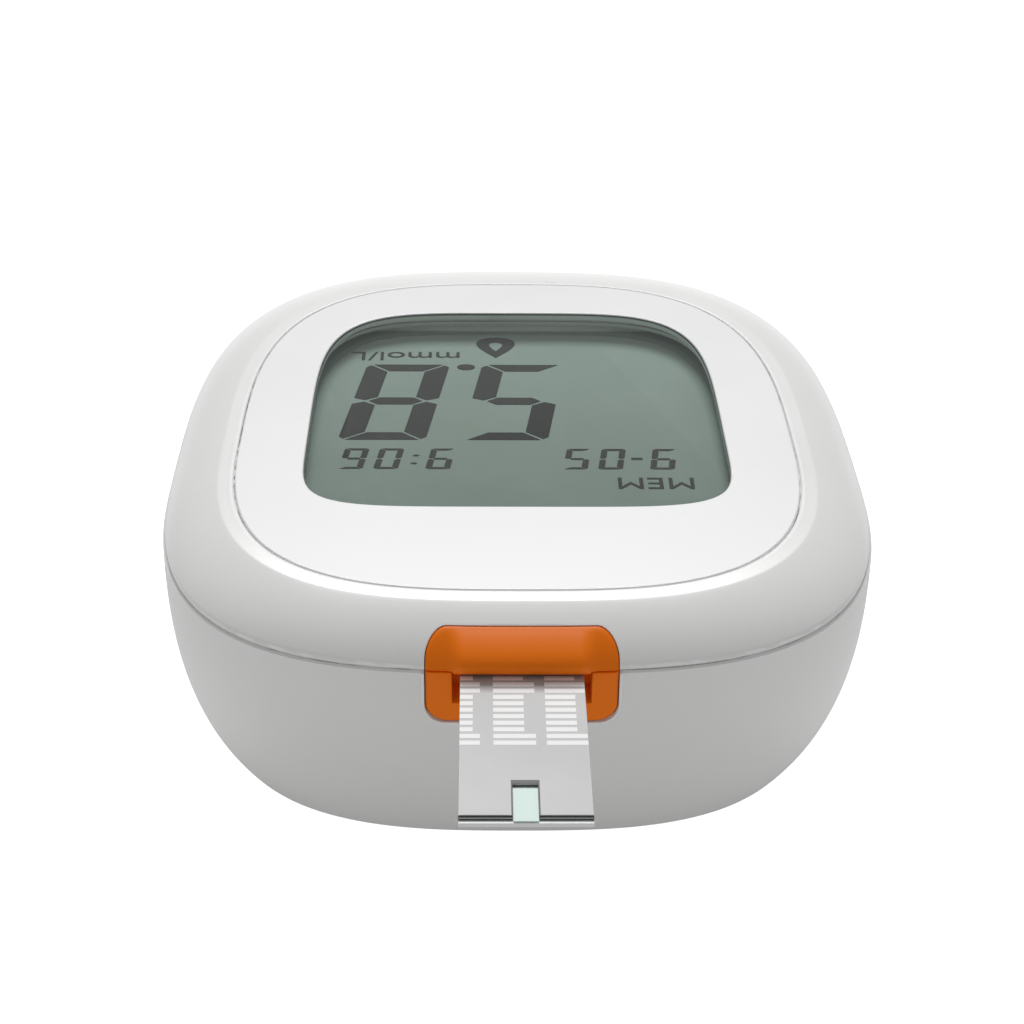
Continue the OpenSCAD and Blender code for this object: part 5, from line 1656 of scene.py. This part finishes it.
class METER_OT_stage(MeterOperator, bpy.types.Operator):
    """White floor, soft light from above and the camera"""

    bl_idname = "meter.stage"
    bl_label = "Stage"

    def execute(self, context):
        scene = context.scene
        floor_half = 1.5
        corners = [(a * floor_half, b * floor_half, 0)
                   for a, b in ((-1, -1), (1, -1), (1, 1), (-1, 1))]
        mesh = bpy.data.meshes.new("floor")
        mesh.from_pydata(corners, [], [(0, 1, 2, 3)])
        floor = placed("floor", mesh)
        floor.data.materials.append(materials["floor"])

        world = bpy.data.worlds.new("Studio")
        scene.world = world
        world.use_nodes = True
        tree = world.node_tree
        tree.nodes["Background"].inputs["Color"].default_value = (1, 1, 1, 1)
        sight = add_node(tree, "ShaderNodeLightPath").outputs["Is Camera Ray"]
        glow, seen = 0.35, 1.0
        strength = add_node(tree, "ShaderNodeMath", sight, seen - glow, glow,
                            operation="MULTIPLY_ADD")
        tree.links.new(strength.outputs[0], tree.nodes["Background"].inputs["Strength"])

        light = bpy.data.lights.new("overhead", "AREA")
        light.size = 0.3
        light.energy = 2.96
        lamp = placed("overhead", light)
        lamp.location = (0, 0.43, 0.51)
        lamp.rotation_euler = (-lamp.location).to_track_quat("-Z", "Y").to_euler()

        lens = bpy.data.cameras.new("camera")
        lens.lens = 80.84
        lens.sensor_width = 36
        lens.clip_start = 0.005
        camera = placed("camera", lens)
        camera.location = (-3.093 * MM, -168.013 * MM, 104.075 * MM)
        camera.rotation_euler = [radians(a) for a in (61.5239, -0.5107, -0.7111)]
        scene.camera = camera
        scene.view_settings.view_transform = "Standard"
        return {"FINISHED"}


class METER_PT_panel(bpy.types.Panel):
    """Lists the build steps and the sizes and colours"""

    bl_label = "Blood glucose meter"
    bl_space_type = "VIEW_3D"
    bl_region_type = "UI"
    bl_category = "Meter"

    def draw(self, context):
        for step in STEPS:
            self.layout.operator(step.bl_idname)
        for name in GROUPS:
            group = getattr(context.scene, name)
            box = self.layout.box()
            for key in group.__annotations__:
                box.prop(group, key)


STEPS = [METER_OT_upper_case, METER_OT_lower_case, METER_OT_face_panel, METER_OT_display,
         METER_OT_port_collar, METER_OT_battery_door, METER_OT_fasteners, METER_OT_buttons,
         METER_OT_ejector, METER_OT_test_strip, METER_OT_battery, METER_OT_electronics,
         METER_OT_stage]
GROUPS = {"meter_case": CaseSizes, "meter_display": DisplaySizes, "meter_port": PortSizes,
          "meter_controls": ControlSizes, "meter_colours": Colours}


def make_materials(colours):
    """All the finishes, by the name of what they cover."""
    materials.update({
        "upper": white_abs(colours),
        "lower": lower_abs(colours),
        "panel": printed_panel(colours),
        "orange": orange_abs(colours),
        # Polished acrylic: clear, with a sharp mirror at a slant.
        "lens": clear_pane("Clear acrylic", (0.97, 0.99, 0.98), 0.03, 0.96),
        # Thin float glass: clear and faintly green, with no mirror of its own.
        "pane": clear_pane("Display glass", (0.97, 0.99, 0.98), 0.1, 0.0),
        # Stretched film: it greys what lies under it a little.
        "polariser": clear_pane("Polariser film", (0.9, 0.93, 0.91), 0.2, 0.0),
        # Grey-green film, with painted shade that darkens it towards the port end.
        "screen": screen_film_painted_shade(colours),
        # Window wall: a thin dark line, and under it a pale colour that is painted light.
        "border": border_with_painted_light(),
        # Liquid crystal, switched dark: nearly black, and too dull to mirror the lamp.
        "segments": plain("Lit segments", colours.segments, 0.6, 0.2, 0.001, 0.03, 0.06,
                          Specular_IOR_Level=0.1),
        # Moulded elastomer: dark grey and matt, so the feet read as soft.
        "rubber": plain("Grey elastomer", linear("#55565A"), 0.75, 0.15, 0.01),
        "steel": plated_steel(),
        # Moulded ABS, satin: light grey, with a soft sheen.
        "button": plain("Grey button plastic", linear("#C4C6C8"), 0.42),
        # Moulded acetal: mid grey and a little duller than the buttons.
        "ejector": plain("Grey acetal", linear("#A3A7AC"), 0.45),
        # Cut polyester film: almost white, with an even sheen.
        "film": plain("White polyester film", linear("#EDEFEE"), 0.35, 1.5, 0.002, 0.03, 0.02),
        # Printed polyester film: an even light grey.
        "cover": plain("Grey printed film", colours.strip, 0.4, 1.5, 0.002, 0.03, 0.02),
        # Screen-printed ink: whiter and duller than the film under it.
        "ink": plain("White ink", linear("#FAFAFA"), 0.5, 0.2, 0.001, 0.03, 0.02),
        # Adhesive film: a dark line between two pale layers.
        "glue": plain("Dark adhesive film", linear("#2E3231"), 0.5),
        # Screen-printed carbon: black and matt.
        "carbon": plain("Carbon ink", linear("#1B1B1B"), 0.7, 0.1, 0.003),
        # Dried enzyme coat: pale aqua and dull.
        "reagent": plain("Dried reagent", colours.reagent, 0.5, 0.3, 0.002, 0.04, 0.04),
        # Drawn steel, nickel-plated: bright, with soft highlights.
        "can": plain("Nickel can", linear("#C2C3C4"), 0.25, 0.2, 0.002, Metallic=1.0),
        # Heat-shrunk film: dark and smooth, with a satin sheen.
        "sleeve": plain("Shrink sleeve", linear("#2C2E33"), 0.32, 1.5, 0.003),
        # Die-cut foam, quite matt: its pale grey-green is painted light, lightened for the light
        # that the shaded recess round the display doesn't get.
        "foam": plain("Foam tape", linear("#CBD5CE"), 0.9, 0.15, 0.03),
        # Unpigmented plastic, moulded: off-white, with little sheen.
        "holder": plain("Natural plastic", linear("#DADAD6"), 0.5),
        # Carbon and silicone in layers too thin to tell apart: one dull pink.
        "zebra": plain("Layered elastomer", linear("#D9A3A3"), 0.7),
        "board": solder_mask(),
        # Moulded epoxy: nearly black and matt.
        "epoxy": plain("Moulded epoxy", linear("#1C1C1E"), 0.55, 0.12, 0.006),
        # Sintered ceramic: tan and dull.
        "ceramic": plain("Sintered ceramic", linear("#A98E66"), 0.6, 0.1, 0.004),
        # Glass-filled plastic, moulded: black, with a faintly rough skin.
        "black": plain("Glass-filled plastic", linear("#18181A"), 0.5, 0.2, 0.008),
        # Gold flash on spring metal: warm and bright.
        "gold": plain("Gold plate", linear("#E0B45C"), 0.25, 0.2, 0.002, Metallic=1.0),
        "floor": paper_floor(),
    })


def register():
    """Makes the classes and the scene's groups of sizes known to Blender."""
    for item in [*GROUPS.values(), *STEPS, METER_PT_panel]:
        bpy.utils.register_class(item)
    for name, group in GROUPS.items():
        setattr(bpy.types.Scene, name, PointerProperty(type=group))


def unregister():
    """Takes them away again."""
    for name in GROUPS:
        delattr(bpy.types.Scene, name)
    for item in reversed([*GROUPS.values(), *STEPS, METER_PT_panel]):
        bpy.utils.unregister_class(item)


def main():
    """Builds the meter and its stage."""
    register()
    make_trees()
    make_materials(bpy.context.scene.meter_colours)
    for step in STEPS:
        area, name = step.bl_idname.split(".")
        getattr(getattr(bpy.ops, area), name)()


if __name__ == "__main__":
    main()
